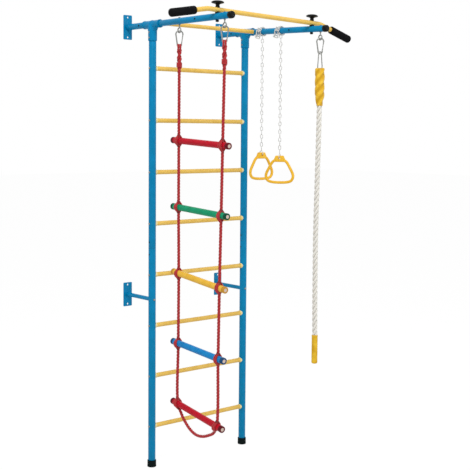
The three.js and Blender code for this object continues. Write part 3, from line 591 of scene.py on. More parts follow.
def wallPlate(centre):
    clearSelection()
    bpy.ops.mesh.primitive_cube_add(size=1, location=centre - Vector((0, plates["thick"] / 2 * mm, 0)))
    plate = bpy.context.object
    plate.scale = Vector((plates["width"], plates["thick"], plates["height"])) * mm
    settle(plate)
    bpy.ops.object.mode_set(mode="EDIT")
    bpy.ops.mesh.select_mode(type="EDGE")
    bpy.ops.mesh.select_all(action="DESELECT")
    bpy.ops.object.mode_set(mode="OBJECT")
    for edge in plate.data.edges:  # the four short edges, at the corners
        a, b = (plate.data.vertices[v].co for v in edge.vertices)
        edge.select = abs(a.y - b.y) > plates["thick"] / 2 * mm
    bpy.ops.object.mode_set(mode="EDIT")
    bpy.ops.mesh.bevel(offset=plates["corner"] * mm, segments=6, affect="EDGES")
    bpy.ops.object.mode_set(mode="OBJECT")
    reach = Vector((0, plates["drill"] * mm, 0))
    holes = [centre + up * s * plates["spacing"] / 2 * mm for s in (-1, 1)]
    cut(plate, *[roundBar(hole - reach, hole + reach, plates["hole"], 24) for hole in holes])
    return softened(plate, 0.6)


def addBrackets():
    front = Vector((0, -1, 0)) * mm
    wallGap = -setSize["postY"]
    for side in setSize["sides"]:
        high = Vector((sideX(side), 0, setSize["armZ"])) * mm
        plate = wallPlate(high)
        reaches = (plates["thick"] - plates["sink"], wallGap - plates["play"])
        stub = roundTube(*[high + front * reach for reach in reaches], setSize["arm"], arms["wall"], 44)
        finishPiece(joined([plate, stub]), f"{side}UpperBracket", "frame", bluePaint,
                    [f"{side}_upper_bracket"], angle=25)
        low = Vector((sideX(side), 0, plates["lowerZ"])) * mm
        post, notch = low + front * wallGap, up * plates["notch"] * mm
        plate = wallPlate(low)
        rod = roundBar(low + front * plates["thick"] / 2, post, plates["rod"], 32)
        hollow = roundBar(post - notch, post + notch, posts["outer"] + 2 * plates["play"], 48)
        body = cut(united(plate, rod), hollow)
        finishPiece(body, f"{side}LowerBracket", "frame", bluePaint, [f"{side}_lower_bracket"],
                    angle=25)


addTees()
addArms()
addCrossbar()
addBrackets()
print("tees, arms and brackets made")


# pull-up bar with its grips, saddles, knobs and nuts
pullUp = {
    "reach": 486, "rise": 29, "outer": 22, "bendReach": 56, "bendRadius": 60, "bend": {-1: 11.2, 1: 15.4},
    "endReach": 251,
}
grip = {"radius": 18.5, "bore": 11.3, "length": 138, "end": 12, "round": 9, "play": 0.3, "fill": 0.9}
knob = {"radius": 29, "neck": 10.5, "neckHeight": 14, "head": 16, "screw": 4, "screwLength": 65, "play": 0.3}


def barFrame():
    left, right = (armPoint(side, pullUp["reach"]) + up * pullUp["rise"] * mm for side in setSize["sides"])
    dip = math.atan2(left.z - right.z, right.x - left.x)
    middle = (left + right) / 2
    along = Vector((math.cos(dip), 0, -math.sin(dip)))
    rise = Vector((math.sin(dip), 0, math.cos(dip)))
    return middle, along, rise, (left - right).length / 2


def barHalf(sign):
    # the bend, the tip and the direction of the drooping end on one side
    middle, along, rise, armX = barFrame()
    bend, radius = math.radians(pullUp["bend"][sign]), pullUp["bendRadius"]
    bendX = armX + pullUp["bendReach"] * mm
    flat = radius * math.tan(bend / 2) * mm
    tail = (pullUp["endReach"] - pullUp["bendReach"]) * mm / math.cos(bend)
    across = along * sign
    centre = middle + across * (bendX - flat) - rise * radius * mm
    curve = arc(centre, radius, 90, 90 - pullUp["bend"][sign], 8, across, rise)
    droop = across * math.cos(bend) - rise * math.sin(bend)
    return curve, middle + across * bendX + droop * tail, droop


def addPullUpBar():
    halves = {sign: barHalf(sign) for sign in (-1, 1)}
    points = [halves[-1][1], *reversed(halves[-1][0]), *halves[1][0], halves[1][1]]
    bar = bentBar(points, pullUp["outer"], sides=8)
    finishPiece(bar, "pullUpBar", "frame", yellowPaint, ["pull_up_bar"])
    r, b, n, c = (grip[key] for key in ("radius", "bore", "length", "round"))
    inside = n - grip["end"]
    profile = [(b, 0), (r - 3, 0), (r - 0.8, 0.9), (r, 3)]
    profile += [(r, n * k / 4 - 6) for k in (1, 2, 3)]
    profile += [(r - c + c * math.cos(math.radians(a)), n - c + c * math.sin(math.radians(a)))
                for a in range(0, 91, 10)]
    profile += [(0, n), (0, inside), (b, inside), (b, 0)]
    for side, sign in setSize["sides"].items():
        tip, droop = halves[sign][1:]
        foam = turnedPiece(profile, tip - droop * (inside - grip["play"]) * mm, droop)
        finishPiece(foam, f"{side}Grip", "frame", gripFoam, [f"{side}_grip"])


def softenedCopy(node):
    # the solid of a plain block, copied and given soft edges
    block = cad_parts[node].copy()
    block.data = block.data.copy()
    block.parent = None
    for key in list(block.keys()):
        del block[key]
    bpy.context.scene.collection.objects.link(block)
    return softened(editWhole(block, merge=0.005, outward=False), 0.5)


def addKnobs():
    middle, along, rise, armX = barFrame()
    r, neck, h, play = (knob[key] for key in ("radius", "neck", "neckHeight", "play"))
    screw, low = knob["screw"], -knob["screwLength"]
    rim, top = h + knob["head"] * 0.35, h + knob["head"]
    profile = [(0, low), (screw, low), (screw, play), (neck, play), (neck + 0.4, 1), (neck - 1.2, h * 0.4),
               (neck - 2, h * 0.6), (neck - 1.2, h * 0.85), (neck + 3, h + 1), (r - 8, rim - 2.6),
               (r - 2, rim - 1), (r - 0.4, rim + 0.6), (r, rim + 2), (r - 0.4, rim + 3.6),
               (r - 2.5, rim + 5.4), (r - 8, top - 2.2), (r * 0.5, top - 0.8), (r * 0.25, top - 0.2),
               (0, top)]
    for side, sign in setSize["sides"].items():
        seat = middle + along * sign * armX
        piece = turnedPiece(profile, seat + rise * pullUp["outer"] / 2 * mm, rise)
        finishPiece(piece, f"{side}Knob", f"{side}_knob", blackPlastic, [f"{side}_knob"],
                    angle=45)
        for node in (f"{side}_saddle", f"{side}_knob_nut"):
            finishPiece(softenedCopy(node), pieceName(node), "frame", blackPlastic, [node])


addPullUpBar()
addKnobs()
print("pull-up bar made")


# eye bolts, spring hooks and gates
eyes = {"wire": 6, "inner": 16, "shank": 16, "shankTop": 1.5, "collarSink": 0.9}
hooks = {
    "wire": 6.5, "length": 80, "top": 40, "bottom": 26, "yaw": -40, "ride": 1.6, "gate": 5.2,
    "noseDrop": 5, "pivotRise": 4, "pivotPlay": 0.3, "nosePlay": 0.5,
}
hangers = {
    "ladder_rear": {"side": "left", "reach": 210, "body": "ladder", "gate": "ladder_rear_gate"},
    "ladder_front": {"side": "left", "reach": 536, "body": "ladder", "gate": "ladder_front_gate"},
    "rope": {"side": "right", "reach": 546, "body": "rope_hook", "gate": "rope_gate"},
}


def hangerPoint(name, above):
    return armPoint(hangers[name]["side"], hangers[name]["reach"], above)


def hookTop(name):
    eyeDrop = setSize["arm"] / 2 + eyes["shank"] + eyes["inner"] + eyes["wire"]
    return hangerPoint(name, -(eyeDrop - (eyes["wire"] + hooks["wire"]) / 2 - hooks["ride"]))


def hookBottom(name):
    return hookTop(name) - up * (hooks["length"] - hooks["wire"]) * mm


def addEyeBolt(name):
    r, major = setSize["arm"] / 2, (eyes["inner"] + eyes["wire"]) / 2
    sag = math.radians(setSize["sag"][hangers[name]["side"]])
    armUp = Vector((0, -math.sin(sag), math.cos(sag)))
    armOn = Vector((0, -math.cos(sag), -math.sin(sag)))
    centre = hangerPoint(name, -r - eyes["shank"] - major)
    ring = bentBar(arc(centre, major, 0, 352.5, 47, armOn, armUp), eyes["wire"], closed=True, sides=4)
    shank = roundBar(centre + armUp * major * mm, hangerPoint(name, r + eyes["shankTop"]), eyes["wire"], 20)
    head = turnedPiece([(0, 0.3), (5, 0.3), (5.5, 0.8), (5.5, 1.8), (4.6, 2.8), (2, 3.2), (0, 3.3)],
                       hangerPoint(name, r), armUp, 24)
    collar = turnedPiece([(3, -1.2), (5, -1.2), (5.5, -1.8), (5.5, -3.4), (5, -4), (3, -4), (3, -1.2)],
                         hangerPoint(name, -r + eyes["collarSink"]), armUp, 24)
    eye = united(ring, shank, head, collar)
    finishPiece(eye, pieceName(name + "_eye_bolt"), "frame", zincSteel, [name + "_eye_bolt"])


def addSpringHook(name):
    top, across = hookTop(name), heading(hooks["yaw"])
    big, small = (hooks["top"] - hooks["wire"]) / 2, (hooks["bottom"] - hooks["wire"]) / 2
    span = hooks["length"] - hooks["wire"] - big - small
    lean = math.degrees(math.asin((big - small) / span))
    upper = arc(top - up * big * mm, big, lean, 180 - lean, 16, across)
    lower = arc(top - up * (big + span) * mm, small, 180 - lean, 360 + lean, 16, across)
    way = (upper[0] - lower[-1]).normalized()
    nose, heel = upper[0] - way * hooks["noseDrop"] * mm, lower[-1] + way * hooks["pivotRise"] * mm
    wire = bentBar([nose, *upper, *lower, heel], hooks["wire"], sides=5)
    finishPiece(wire, pieceName(name + "_hook"), hangers[name]["body"], zincSteel,
                [name + "_hook"])
    # the gate turns about the middle of its round foot
    g = hooks["gate"] / 2
    pivot = heel + way * (hooks["pivotPlay"] + g) * mm
    n = (nose - way * hooks["nosePlay"] * mm - pivot).length / mm
    profile = [(g * math.sin(math.radians(a)), -g * math.cos(math.radians(a))) for a in range(0, 91, 15)]
    profile += [(g, 6), (g - 0.5, 7), (g - 0.5, n - 7), (g, n - 6), (g, n - 0.4), (g - 0.4, n), (0, n)]
    gate = turnedPiece(profile, pivot, way, 20)
    finishPiece(gate, pieceName(name + "_hook_gate"), hangers[name]["gate"], zincSteel,
                [name + "_hook_gate"])


for hanger in hangers:
    addEyeBolt(hanger)
    addSpringHook(hanger)
print("hooks made")


# laid rope: strands wound round a line, with the lay kept as a UV map for the fibre
def evenTurns(count, step, lay):
    return [2 * math.pi * i * step / lay for i in range(count)]


def strandPoints(line, strands, offset, turns):
    # turns gives the angle of the lay at each point of the line
    made = [[] for _ in range(strands)]
    side = Vector((1, 0, 0))
    for i, point in enumerate(line):
        ahead = (line[min(i + 1, len(line) - 1)] - line[max(i - 1, 0)]).normalized()
        out = (side - ahead * side.dot(ahead)).normalized()
        across = ahead.cross(out)
        r = offset[i] if isinstance(offset, list) else offset
        for k in range(strands):
            a = turns[i] + 2 * math.pi * k / strands
            made[k].append(point + (out * math.cos(a) + across * math.sin(a)) * r * mm)
    return made


def layMap(strand, axis, reach):
    # U round the strand, V along it in centimetres, and how far out in the rope each point lies, which masks
    # the painted shade between the strands
    mesh = strand.data
    ring = len(mesh.vertices) // len(axis)
    along = [0.0]
    for p, q in zip(axis, axis[1:]):
        along.append(along[-1] + (q - p).length * 100)
    layer = mesh.uv_layers.new(name="lay")
    for face in mesh.polygons:
        turns = [mesh.loops[k].vertex_index % ring / ring for k in face.loop_indices]
        wraps = max(turns) - min(turns) > 0.5
        for k, turn in zip(face.loop_indices, turns):
            row = min(mesh.loops[k].vertex_index // ring, len(axis) - 1)
            layer.data[k].uv = (turn + (1 if wraps and turn < 0.5 else 0), along[row])
    depth = mesh.attributes.new("depth", "FLOAT", "POINT")
    for k, point in enumerate(mesh.vertices):
        row = min(k // ring, len(axis) - 1)
        depth.data[k].value = min(1.0, (point.co - axis[row]).length / (reach * mm))


def ropePiece(strandLines, axis, diameter, reach, radii=None, sides=3):
    made = []
    for line in strandLines:
        strand = bentBar(line, diameter, sides=sides, radii=radii)
        layMap(strand, axis, reach)
        made.append(strand)
    return joined(made)


def declareCord(rope, line, diameter):
    length = round(sum((q - p).length for p, q in zip(line, line[1:])), 3)
    tuple(line[0])
    [tuple(p) for p in line[::3] + [line[-1]]]
    print(rope.name, length, "m")


# rope ladder
ladder = {
    "width": 326, "length": 420, "radius": 15, "rim": 4, "recess": 1.2, "cap": 16, "firstDrop": 437,
    "pitch": 320, "tilts": (3.1, 3.0, 5.3, 3.0, 5.9), "twists": (1, 2, 3.5, 4.2, 5),
    "sways": (5, 9, 12, 16, 20), "lifts": (-7, 0, 0, -9, 9),
    "colours": ("red", "green", "yellow", "blue", "red"),
    "bow": ((0.08, 37), (0.15, 61), (0.31, 97), (0.48, 113), (0.65, 108), (0.8, 91), (0.92, 71)),
}
ladderCord = {
    "diameter": 15, "step": 4, "lay": 44, "strand": 7.1, "offset": 4.0, "reach": 7.55, "open": 28,
    "hug": 18.8, "beside": ((1, 0.0), (-1, -5.2), (-1, 5.2)), "swell": 0.5, "openReach": 14, "throat": 11.5,
    "throatReach": 5, "throatSteps": 4,
}
splices = {
    "width": 21, "length": 100, "step": 3, "eyeRope": 11, "play": 0.3, "eyeApart": 4.8, "eyeRise": 1.2,
    "legApart": 3.6, "legDrop": 22, "eyeLay": 34, "eyeStrand": (2.45, 4.7, 4.8), "top": 12, "bottom": 118,
    "spread": 5.3, "narrow": 1.6, "narrowFrom": 0.72, "pairLay": 70, "lay": 40, "strand": (3.4, 6.6, 6.7),
    "coil": 11.4, "coilTop": 72, "coilHeight": 22, "coilTurns": 6, "coilCord": 4.2,
}


def ladderRung(i):
    top = hookBottom("ladder_rear")
    tilt, twist = math.radians(ladder["tilts"][i]), math.radians(ladder["twists"][i])
    front = Vector((-math.sin(twist) * math.cos(tilt), -math.cos(twist) * math.cos(tilt), -math.sin(tilt)))
    y = top.y + (ladder["sways"][i] - ladder["width"] / 2) * mm
    z = top.z + (ladder["lifts"][i] - ladder["firstDrop"] - i * ladder["pitch"]) * mm
    return Vector((top.x, y, z)), front


def crossing(i, sign):
    middle, front = ladderRung(i)
    return middle + front * sign * ladder["width"] / 2 * mm


def addLadderRungs():
    r, cap = ladder["radius"], ladder["cap"]
    core, half = r - ladder["rim"], ladder["length"] / 2
    face, seam = half - ladder["recess"], half - cap
    tube = [(core, -seam), (r - 0.3, -seam), (r, -seam + 0.3)] + [(r, z) for z in (-120, -60, 0, 60, 120)]
    tube += [(r, seam - 0.3), (r - 0.3, seam), (core, seam), (core, -seam)]
    rim = [(core, 0), (r + 0.1, 0), (r + 0.3, 0.4), (r + 0.3, cap - 1.4), (r - 0.2, cap - 0.4),
           (r - 1.2, cap), (core - 1.9, cap), (core - 2.4, cap - 0.4), (core - 2.4, cap - 1), (core, cap - 1),
           (core, 0)]
    dowel = [(0, -face), (core - 0.9, -face), (core - 0.2, -face + 0.7), (core - 0.2, face - 0.7),
             (core - 0.9, face), (0, face)]
    for i, colour in enumerate(ladder["colours"]):
        middle, front = ladderRung(i)
        finishPiece(turnedPiece(tube, middle, front, 40), f"ladderRung{i + 1}", "ladder",
                    rungPlastics[colour], [f"ladder_rung_{i + 1}"])
        # the end caps in darker tones carry painted shade on both rung ends
        rims = [turnedPiece(rim, middle + front * sign * seam * mm, front * sign, 40) for sign in (-1, 1)]
        finishPiece(joined(rims), f"ladderRungCaps{i + 1}", "ladder", shadedCapPlastics[colour])
        finishPiece(turnedPiece(dowel, middle, front, 32), f"ladderRungCore{i + 1}", "ladder", woodCore)


def ladderLine():
    # down the rear side, through the free bow under the last rung and up the front
    order = range(len(ladder["tilts"]))
    last = order[-1]
    eye = (hooks["wire"] + splices["eyeRope"]) / 2 + splices["play"]
    drop = -2 * eye - splices["length"] + splices["width"] / 2
    start, end = (hookBottom(name) + up * drop * mm for name in ("ladder_rear", "ladder_front"))
    rear, front = crossing(last, -1), crossing(last, 1)
    bow = []
    for share, fall in ladder["bow"]:
        point = rear.lerp(front, share)
        point.z = max(rear.z, front.z) - fall * mm
        bow.append(point)
    down = [crossing(i, -1) for i in order]
    rise = [crossing(i, 1) for i in reversed(order)]
    line = evenLine(smoothLine([start, *down, *bow, *rise, end], 12), ladderCord["step"] * mm)
    marks = [min(range(len(line)), key=lambda i: (line[i] - knot).length) for knot in down + rise]
    return line, marks, [ladderRung(i)[1] for i in [*order, *reversed(order)]]


def ladderTurns(count, stops):
    # the lay stands still where a rung goes through and makes whole turns in between
    turns, angle = [0.0] * count, 0.0
    for k, (a, b) in enumerate(zip(stops, stops[1:])):
        rounds = 0 if k % 2 else max(1, round((b - a) * ladderCord["step"] / ladderCord["lay"]))
        wind = 2 * math.pi * rounds
        for i in range(a, b + 1):
            turns[i] = angle + wind * (i - a) / max(1, b - a)
        angle += wind
    return turns


def openRound(strands, line, mark, rung, openSteps):
    # the strands go round the rung, one on one side and two on the other, and swell; returns how much
    hug, reach, step = ladderCord["hug"], openSteps * ladderCord["step"], ladderCord["step"]
    touch = hug * hug / reach
    swelled = {}
    for i in range(mark - openSteps, mark + openSteps + 1):
        t = abs(i - mark) * step
        if t <= touch:
            out = math.sqrt(hug * hug - t * t)
        else:
            out = math.sqrt(hug * hug - touch * touch) * (reach - t) / (reach - touch)
        w = out / hug
        swelled[i] = 1 + ladderCord["swell"] * w
        for strand, (side, along) in zip(strands, ladderCord["beside"]):
            wound = strand[i] - line[i]
            aside = (Vector((1, 0, 0)) * side * out + rung * along * w) * mm
            strand[i] = line[i] + wound * (1 - w) + aside
    return swelled


def finishRope(piece, name, nodes=()):
    return finishPiece(piece, name, "ladder", redRope, nodes, angle=60)


def addLadderRope():
    line, marks, ways = ladderLine()
    openSteps = round(ladderCord["open"] / ladderCord["step"])
    stops = [0] + [m for mark in marks for m in (mark - openSteps, mark + openSteps)] + [len(line) - 1]
    strands = strandPoints(line, 3, ladderCord["offset"], ladderTurns(len(line), stops))
    thick = [1.0] * len(line)
    for mark, way in zip(marks, ways):
        for i, swell in openRound(strands, line, mark, way, openSteps).items():
            thick[i] = swell
    # closed lengths of rope between the rungs, and the opened strands round each rung
    main, opened = [], []
    for k, (a, b) in enumerate(zip(stops, stops[1:])):
        reach = ladderCord["openReach"] if k % 2 else ladderCord["reach"]
        rope = ropePiece([strand[a:b + 1] for strand in strands], line[a:b + 1], ladderCord["strand"], reach,
                         thick[a:b + 1])
        if k % 2:
            # the throat of the opening, above and below the rung
            n = ladderCord["throatSteps"]
            throats = [ropePiece([throat], throat, ladderCord["throat"], ladderCord["throatReach"])
                       for throat in (line[a:a + n + 1], line[b - n:b + 1])]
            rope = joined([rope, *throats])
        (opened if k % 2 else main).append(rope)
    rope = finishRope(joined(main), "ladderRope", ["ladder_rope"])
    pieces = [finishRope(piece, f"ladderRopeLoop{k + 1}") for k, piece in enumerate(opened)]
    pieces += addSplices()
    declareCord(rope, line, ladderCord["diameter"])


def spliceEye(seat):
    # the rope goes twice through the hook
    loops = []
    across, hookWay = heading(hooks["yaw"] + 90), heading(hooks["yaw"])
    bend = hooks["wire"] / 2 + splices["eyeRope"] / 2 + splices["play"]
    offset, strand, reach = splices["eyeStrand"]
    for s in (-1, 1):
        base = seat + hookWay * s * splices["eyeApart"] * mm + up * splices["eyeRise"] * mm
        legs = [base + across * t * splices["legApart"] * mm - up * splices["legDrop"] * mm for t in (1, -1)]
        loop = smoothLine([legs[0], *arc(base, bend, 0, 180, 8, across), legs[1]], 6)
        loop = evenLine(loop, splices["step"] * mm)
        turns = evenTurns(len(loop), splices["step"], splices["eyeLay"])
        loops.append(ropePiece(strandPoints(loop, 3, offset, turns), loop, strand, reach))
    return joined(loops)


def spliceBody(seat):
    # below the eye it is laid back on itself
    step = splices["step"]
    down = evenLine([seat - up * splices["top"] * mm, seat - up * splices["bottom"] * mm], step * mm)
    n = len(down) - 1
    start = splices["narrowFrom"]
    narrowing = [max(0.0, (i / n - start) / (1 - start)) for i in range(n + 1)]
    spread = [splices["spread"] - splices["narrow"] * share for share in narrowing]
    offset, strand, reach = splices["strand"]
    turns = evenTurns(n + 1, step, splices["lay"])
    pair = strandPoints(down, 2, spread, evenTurns(n + 1, step, splices["pairLay"]))
    return joined([ropePiece(strandPoints(one, 3, offset, turns), one, strand, reach) for one in pair])


def spliceSeizing(seat):
    # thin cord wound round the splice
    perTurn = 24
    count = splices["coilTurns"] * perTurn
    coil = []
    for i in range(count + 1):
        out = heading(360 * i / perTurn) * splices["coil"]
        coil.append(seat + (out - up * (splices["coilTop"] + splices["coilHeight"] * i / count)) * mm)
    seizing = bentBar(coil, splices["coilCord"], sides=2)
    layMap(seizing, coil, splices["coilCord"] / 2)
    return seizing


def addSplices():
    made = []
    for name in ("rear", "front"):
        seat = hookBottom(f"ladder_{name}")
        for part, model in (("Eye", spliceEye), ("Splice", spliceBody), ("Seizing", spliceSeizing)):
            made.append(finishRope(model(seat), f"ladder{part}{name.title()}"))
    return made


addLadderRungs()
addLadderRope()
print("rope ladder made")


# rings on chains
rings = {
    "reaches": (134, 270), "yaws": (-4, -59), "drops": (624, 633), "width": 155, "height": 119, "bar": 14,
    "blockWidth": 68, "blockHeight": 32, "blockThick": 16, "blockTop": 0.3, "hole": 10, "cover": 8,
}
chain = {
    "pitch": 20, "wire": 3.8, "width": 15, "yaws": (-42, 48), "wrap": 19.3, "seat": 2.2, "play": 0.3,
    "lowest": 23, "turns": 2, "perTurn": 8, "wrapWidth": 9.5, "wrapShorter": -1.4, "turnShift": 11,
    "turnLead": 8, "looseWidth": 12, "loose": ((-16, 17, 9), (-20, 23, -4), (-17, 26, -17)),
}
quickLink = {"place": (-12, 25, -27), "along": (0.9, -0.5, -0.25), "flat": (0.3, 0.2, 1), "longer": 2.5,
             "wire": 5, "width": 17, "nutOut": 6}


def chainLink(centre, along, flat, longer=0.0, wire=chain["wire"], width=chain["width"]):
    # an oval link lying in the plane of along and flat
    along, flat = Vector(along).normalized(), Vector(flat).normalized()
    r = (width - wire) / 2
    half = (chain["pitch"] + wire) / 2 - r + longer - wire / 2
    upper = arc(centre + along * half * mm, r, 0, 180, 8, flat, along)
    lower = arc(centre - along * half * mm, r, 180, 360, 8, flat, along)
    return bentBar([*upper, *lower], wire, closed=True, sides=2)


def wrapLinks(top):
    # turns of links round the arm, each link turned a quarter against the next
    made, count = [], chain["perTurn"]
    for turn in range(chain["turns"]):
        for k in range(count):
            a = 2 * math.pi * (k + 0.5) / count
            out = Vector((math.sin(a), 0, -math.cos(a)))
            along = Vector((math.cos(a), 0.12, math.sin(a)))
            tilt = Vector((0, 1, 0)) * 0.72 + out * (0.7 if k % 2 else -0.7)
            shift = chain["turnShift"] * (turn - 0.5) + chain["turnLead"] * (k / count - 0.5)
            centre = top + out * chain["wrap"] * mm + Vector((0, shift, 0)) * mm
            made.append(chainLink(centre, along, tilt, longer=chain["wrapShorter"], width=chain["wrapWidth"]))
    return made


def looseLinks(top):
    # the loose end of the chain and the quick link that closes the loop
    made = []
    for k, place in enumerate(chain["loose"]):
        flat = (0.2, 0.3, 1) if k % 2 else (1, 0.4, 0.1)
        made.append(chainLink(top + Vector(place) * mm, (0.1, 0.35, -1), flat, width=chain["looseWidth"]))
    centre, along, flat = top + Vector(quickLink["place"]) * mm, quickLink["along"], quickLink["flat"]
    made.append(chainLink(centre, along, flat, quickLink["longer"], quickLink["wire"], quickLink["width"]))
    nut = [(2.6, -5), (3.9, -5), (4.2, -4.4), (4.2, 4.4), (3.9, 5), (2.6, 5), (2.6, -5)]
    made.append(turnedPiece(nut, centre + Vector(flat).normalized() * quickLink["nutOut"] * mm, along, 6))
    return made


def hangingLinks(top, drop):
    turned = [heading(yaw) for yaw in chain["yaws"]]
    high, low = -chain["wrap"] + 2, -drop + chain["lowest"]
    count = round((high - low) / chain["pitch"])
    step = (high - low) / count
    return [chainLink(top + up * (high - (k + 0.5) * step) * mm, up, turned[(count - k) % 2])
            for k in range(count)]


def endLink(hole, normal):
    # last link, through the hole in the ring
    reach, seat = rings["blockThick"] / 2 + chain["play"] + chain["wire"], chain["seat"]
    tall = rings["cover"] + rings["hole"] / 2 + 2 * chain["wire"]
    outline = [(0, tall), (reach * 0.8, tall - 2), (reach, tall / 2), (reach * 0.82, seat), (0, seat)]
    outline += [(-y, z) for y, z in reversed(outline[1:-1])]
    loop = [hole + normal * y * mm + up * z * mm for y, z in outline]
    return bentBar(smoothLine([*loop, loop[0]], 6)[:-1], chain["wire"], closed=True, sides=3)


def addChain(i, top, hole, normal):
    pieces = wrapLinks(top) + looseLinks(top) + hangingLinks(top, rings["drops"][i]) + [endLink(hole, normal)]
    finishPiece(joined(pieces), f"ring{i + 1}Chain", f"ring_{i + 1}_chain", chainZinc,
                [f"ring_{i + 1}_chain"], angle=60)


def addRing(i, hole, across, normal):
    w, h, blockWidth = (rings["width"] - rings["bar"]) / 2, rings["height"], rings["blockWidth"]
    base = rings["hole"] / 2 + rings["cover"] - rings["blockHeight"]
    side = [((blockWidth - rings["bar"]) / 2, base + rings["bar"] / 2), (w * 0.78, -h * 0.42), (w, -h * 0.74),
            (w * 0.88, -h * 0.93), (w * 0.6, -h)]
    path = side + [(-x, z) for x, z in reversed(side)]
    loop = [hole + across * x * mm + up * z * mm for x, z in path]
    around = smoothLine([loop[-2], loop[-1], *loop, loop[0], loop[1]], 10)[20:-20]
    bar = bentBar(around, rings["bar"], closed=True, sides=8)
    top, narrow = base + rings["blockHeight"], blockWidth * rings["blockTop"]
    outline = [(-blockWidth / 2, base), (blockWidth / 2, base), (narrow, top), (-narrow, top)]
    block = softened(slab(outline, hole, across, normal, rings["blockThick"]), 4, 4)
    drill = normal * rings["blockThick"] * 1.25 * mm
    cut(block, roundBar(hole - drill, hole + drill, rings["hole"], 32))
    finishPiece(united(bar, block), f"ring{i + 1}", f"ring_{i + 1}", ringPlastic,
                [f"ring_{i + 1}"], angle=50)


def addRings():
    for i, yaw in enumerate(rings["yaws"]):
        top = armPoint("right", rings["reaches"][i])
        hole = top - up * rings["drops"][i] * mm
        across, normal = heading(yaw), heading(yaw + 90)
        addChain(i, top, hole, normal)
        addRing(i, hole, across, normal)


addRings()
print("rings made")


# climbing rope
climbing = {
    "shackle": 5, "bow": 23, "crown": 0.7, "flare": 37, "yaw": 10, "ride": 2.8, "height": 76, "bite": 10,
    "sleeve": 24, "sleeveEnd": 15.5, "sleeveLength": 180, "taper": 45, "sleeveTop": 14, "sleeveLay": 138,
    "hollow": 3.4, "thinnest": 0.7, "lump": 2.6, "lumpSize": 14, "smooth": 1.2, "blend": 4,
    "rope": 25, "ropeLength": 1112, "bows": (0, 3, 7, 11, 14, 14, 13, 11), "lay": 84, "step": 5,
    "strand": 12.6, "offset": 6.9, "reach": 13.2, "fit": 0.8, "play": 0.3,
    "whipping": 14.7, "whippingLength": 141, "whippingEnd": 10, "groove": 0.7,
}


def swellSleeve(sleeve, axis, least):
    # the thin lower end and the bore stay smooth, the rest may be lumpy
    reach = [Vector((p.co.x - axis.x, p.co.y - axis.y, 0)) for p in sleeve.data.vertices]
    lumpy = sleeve.vertex_groups.new(name="lumpy")
    for k, out in enumerate(reach):
        weight = (out.length / mm - least - climbing["smooth"]) / climbing["blend"]
        lumpy.add([k], min(max(weight, 0), 1), "REPLACE")
    # the strands of the doubled rope press through the sleeve, and its hollows are noted for the painted
    # shade in the colour
    swell = sleeve.data.attributes.new("swell", "FLOAT", "POINT")
    for k, out in enumerate(reach):
        point = sleeve.data.vertices[k]
        a = math.atan2(out.y, out.x) - 2 * math.pi * (point.co.z - axis.z) / mm / climbing["sleeveLay"]
        crest = 0.5 + 0.5 * math.cos(3 * a)
        swell.data[k].value = crest
        if out.length > least * mm:
            deep = min(climbing["hollow"] * (1 - crest) ** 2, out.length / mm - least)
            point.co -= out.normalized() * deep * mm


def addShackle(seat, rise):
    half, flare = climbing["bow"] / 2, climbing["flare"] / 2
    across = heading(climbing["yaw"])
    low = rise - climbing["height"] - climbing["bite"]
    # the legs spread from the narrow bow down to the sleeve
    leg = [(flare, low), (flare * 0.97, low + 22), (flare * 0.8, low + 46), (half * 1.1, rise - half - 9)]
    legs = [[seat + across * s * x * mm + up * z * mm for x, z in leg] for s in (1, -1)]
    bow = arc(seat + up * (rise + climbing["crown"] - half) * mm, half, 0, 180, 8, across)
    wire = bentBar(smoothLine([*legs[0], *bow, *legs[1][::-1]], 5), climbing["shackle"], sides=5)
    finishPiece(wire, "ropeShackle", "climbing_rope", zincSteel, ["rope_shackle"])


def addRopeSleeve(seat, top, bore):
    r, e, n = climbing["sleeve"], climbing["sleeveEnd"], climbing["sleeveLength"]
    taper, inside, lip = climbing["taper"], climbing["sleeveTop"], e + 1.2
    profile = [(bore, -n), (e - 0.5, -n), (e, -n + 0.6), (e + 0.6, -n + 6), (lip, -n + 12)]
    profile += [(lip + (r - lip) * k / 6, -n + 12 + (taper - 8) * k / 6) for k in range(1, 7)]
    profile += [(r, -n + taper + 4 + k * 5) for k in range(1, 24)]
    profile += [(r, -9), (r - 0.8, -4.5), (r - 2.6, -1.6), (r - 5, -0.2), (0, 0), (0, -inside),
                (bore, -inside), (bore, -n)]
    sleeve = turnedPiece(profile, seat + up * top * mm, up, 72)
    swellSleeve(sleeve, seat, bore + climbing["thinnest"])
    lumps = bpy.data.textures.new("lumps", "CLOUDS")
    lumps.noise_scale = climbing["lumpSize"] * mm
    applyModifier(sleeve, "DISPLACE", texture=lumps, strength=climbing["lump"] * mm, mid_level=0.75,
                  texture_coords="LOCAL", vertex_group="lumpy")
    finishPiece(sleeve, "ropeSleeve", "climbing_rope", sleevePlastic, ["rope_sleeve"])


def addWhipping(place, bore):
    w, n, inside, groove = (climbing[key] for key in ("whipping", "whippingLength", "whippingEnd", "groove"))
    profile = [(0, 0), (w - 6, 0), (w - 3.2, 1.2), (w - 1.2, 3.6), (w, 8)]
    profile += [(w - groove * (k % 2), 11 + k * 4) for k in range(31)]
    profile += [(w, n - 3), (w - 0.7, n - 1.2), (w - 2, n), (bore, n), (bore, inside), (0, inside)]
    return finishPiece(turnedPiece(profile, place, up, 40), "ropeEndWhipping", "climbing_rope", whippingCord,
                       ["rope_end_whipping"])


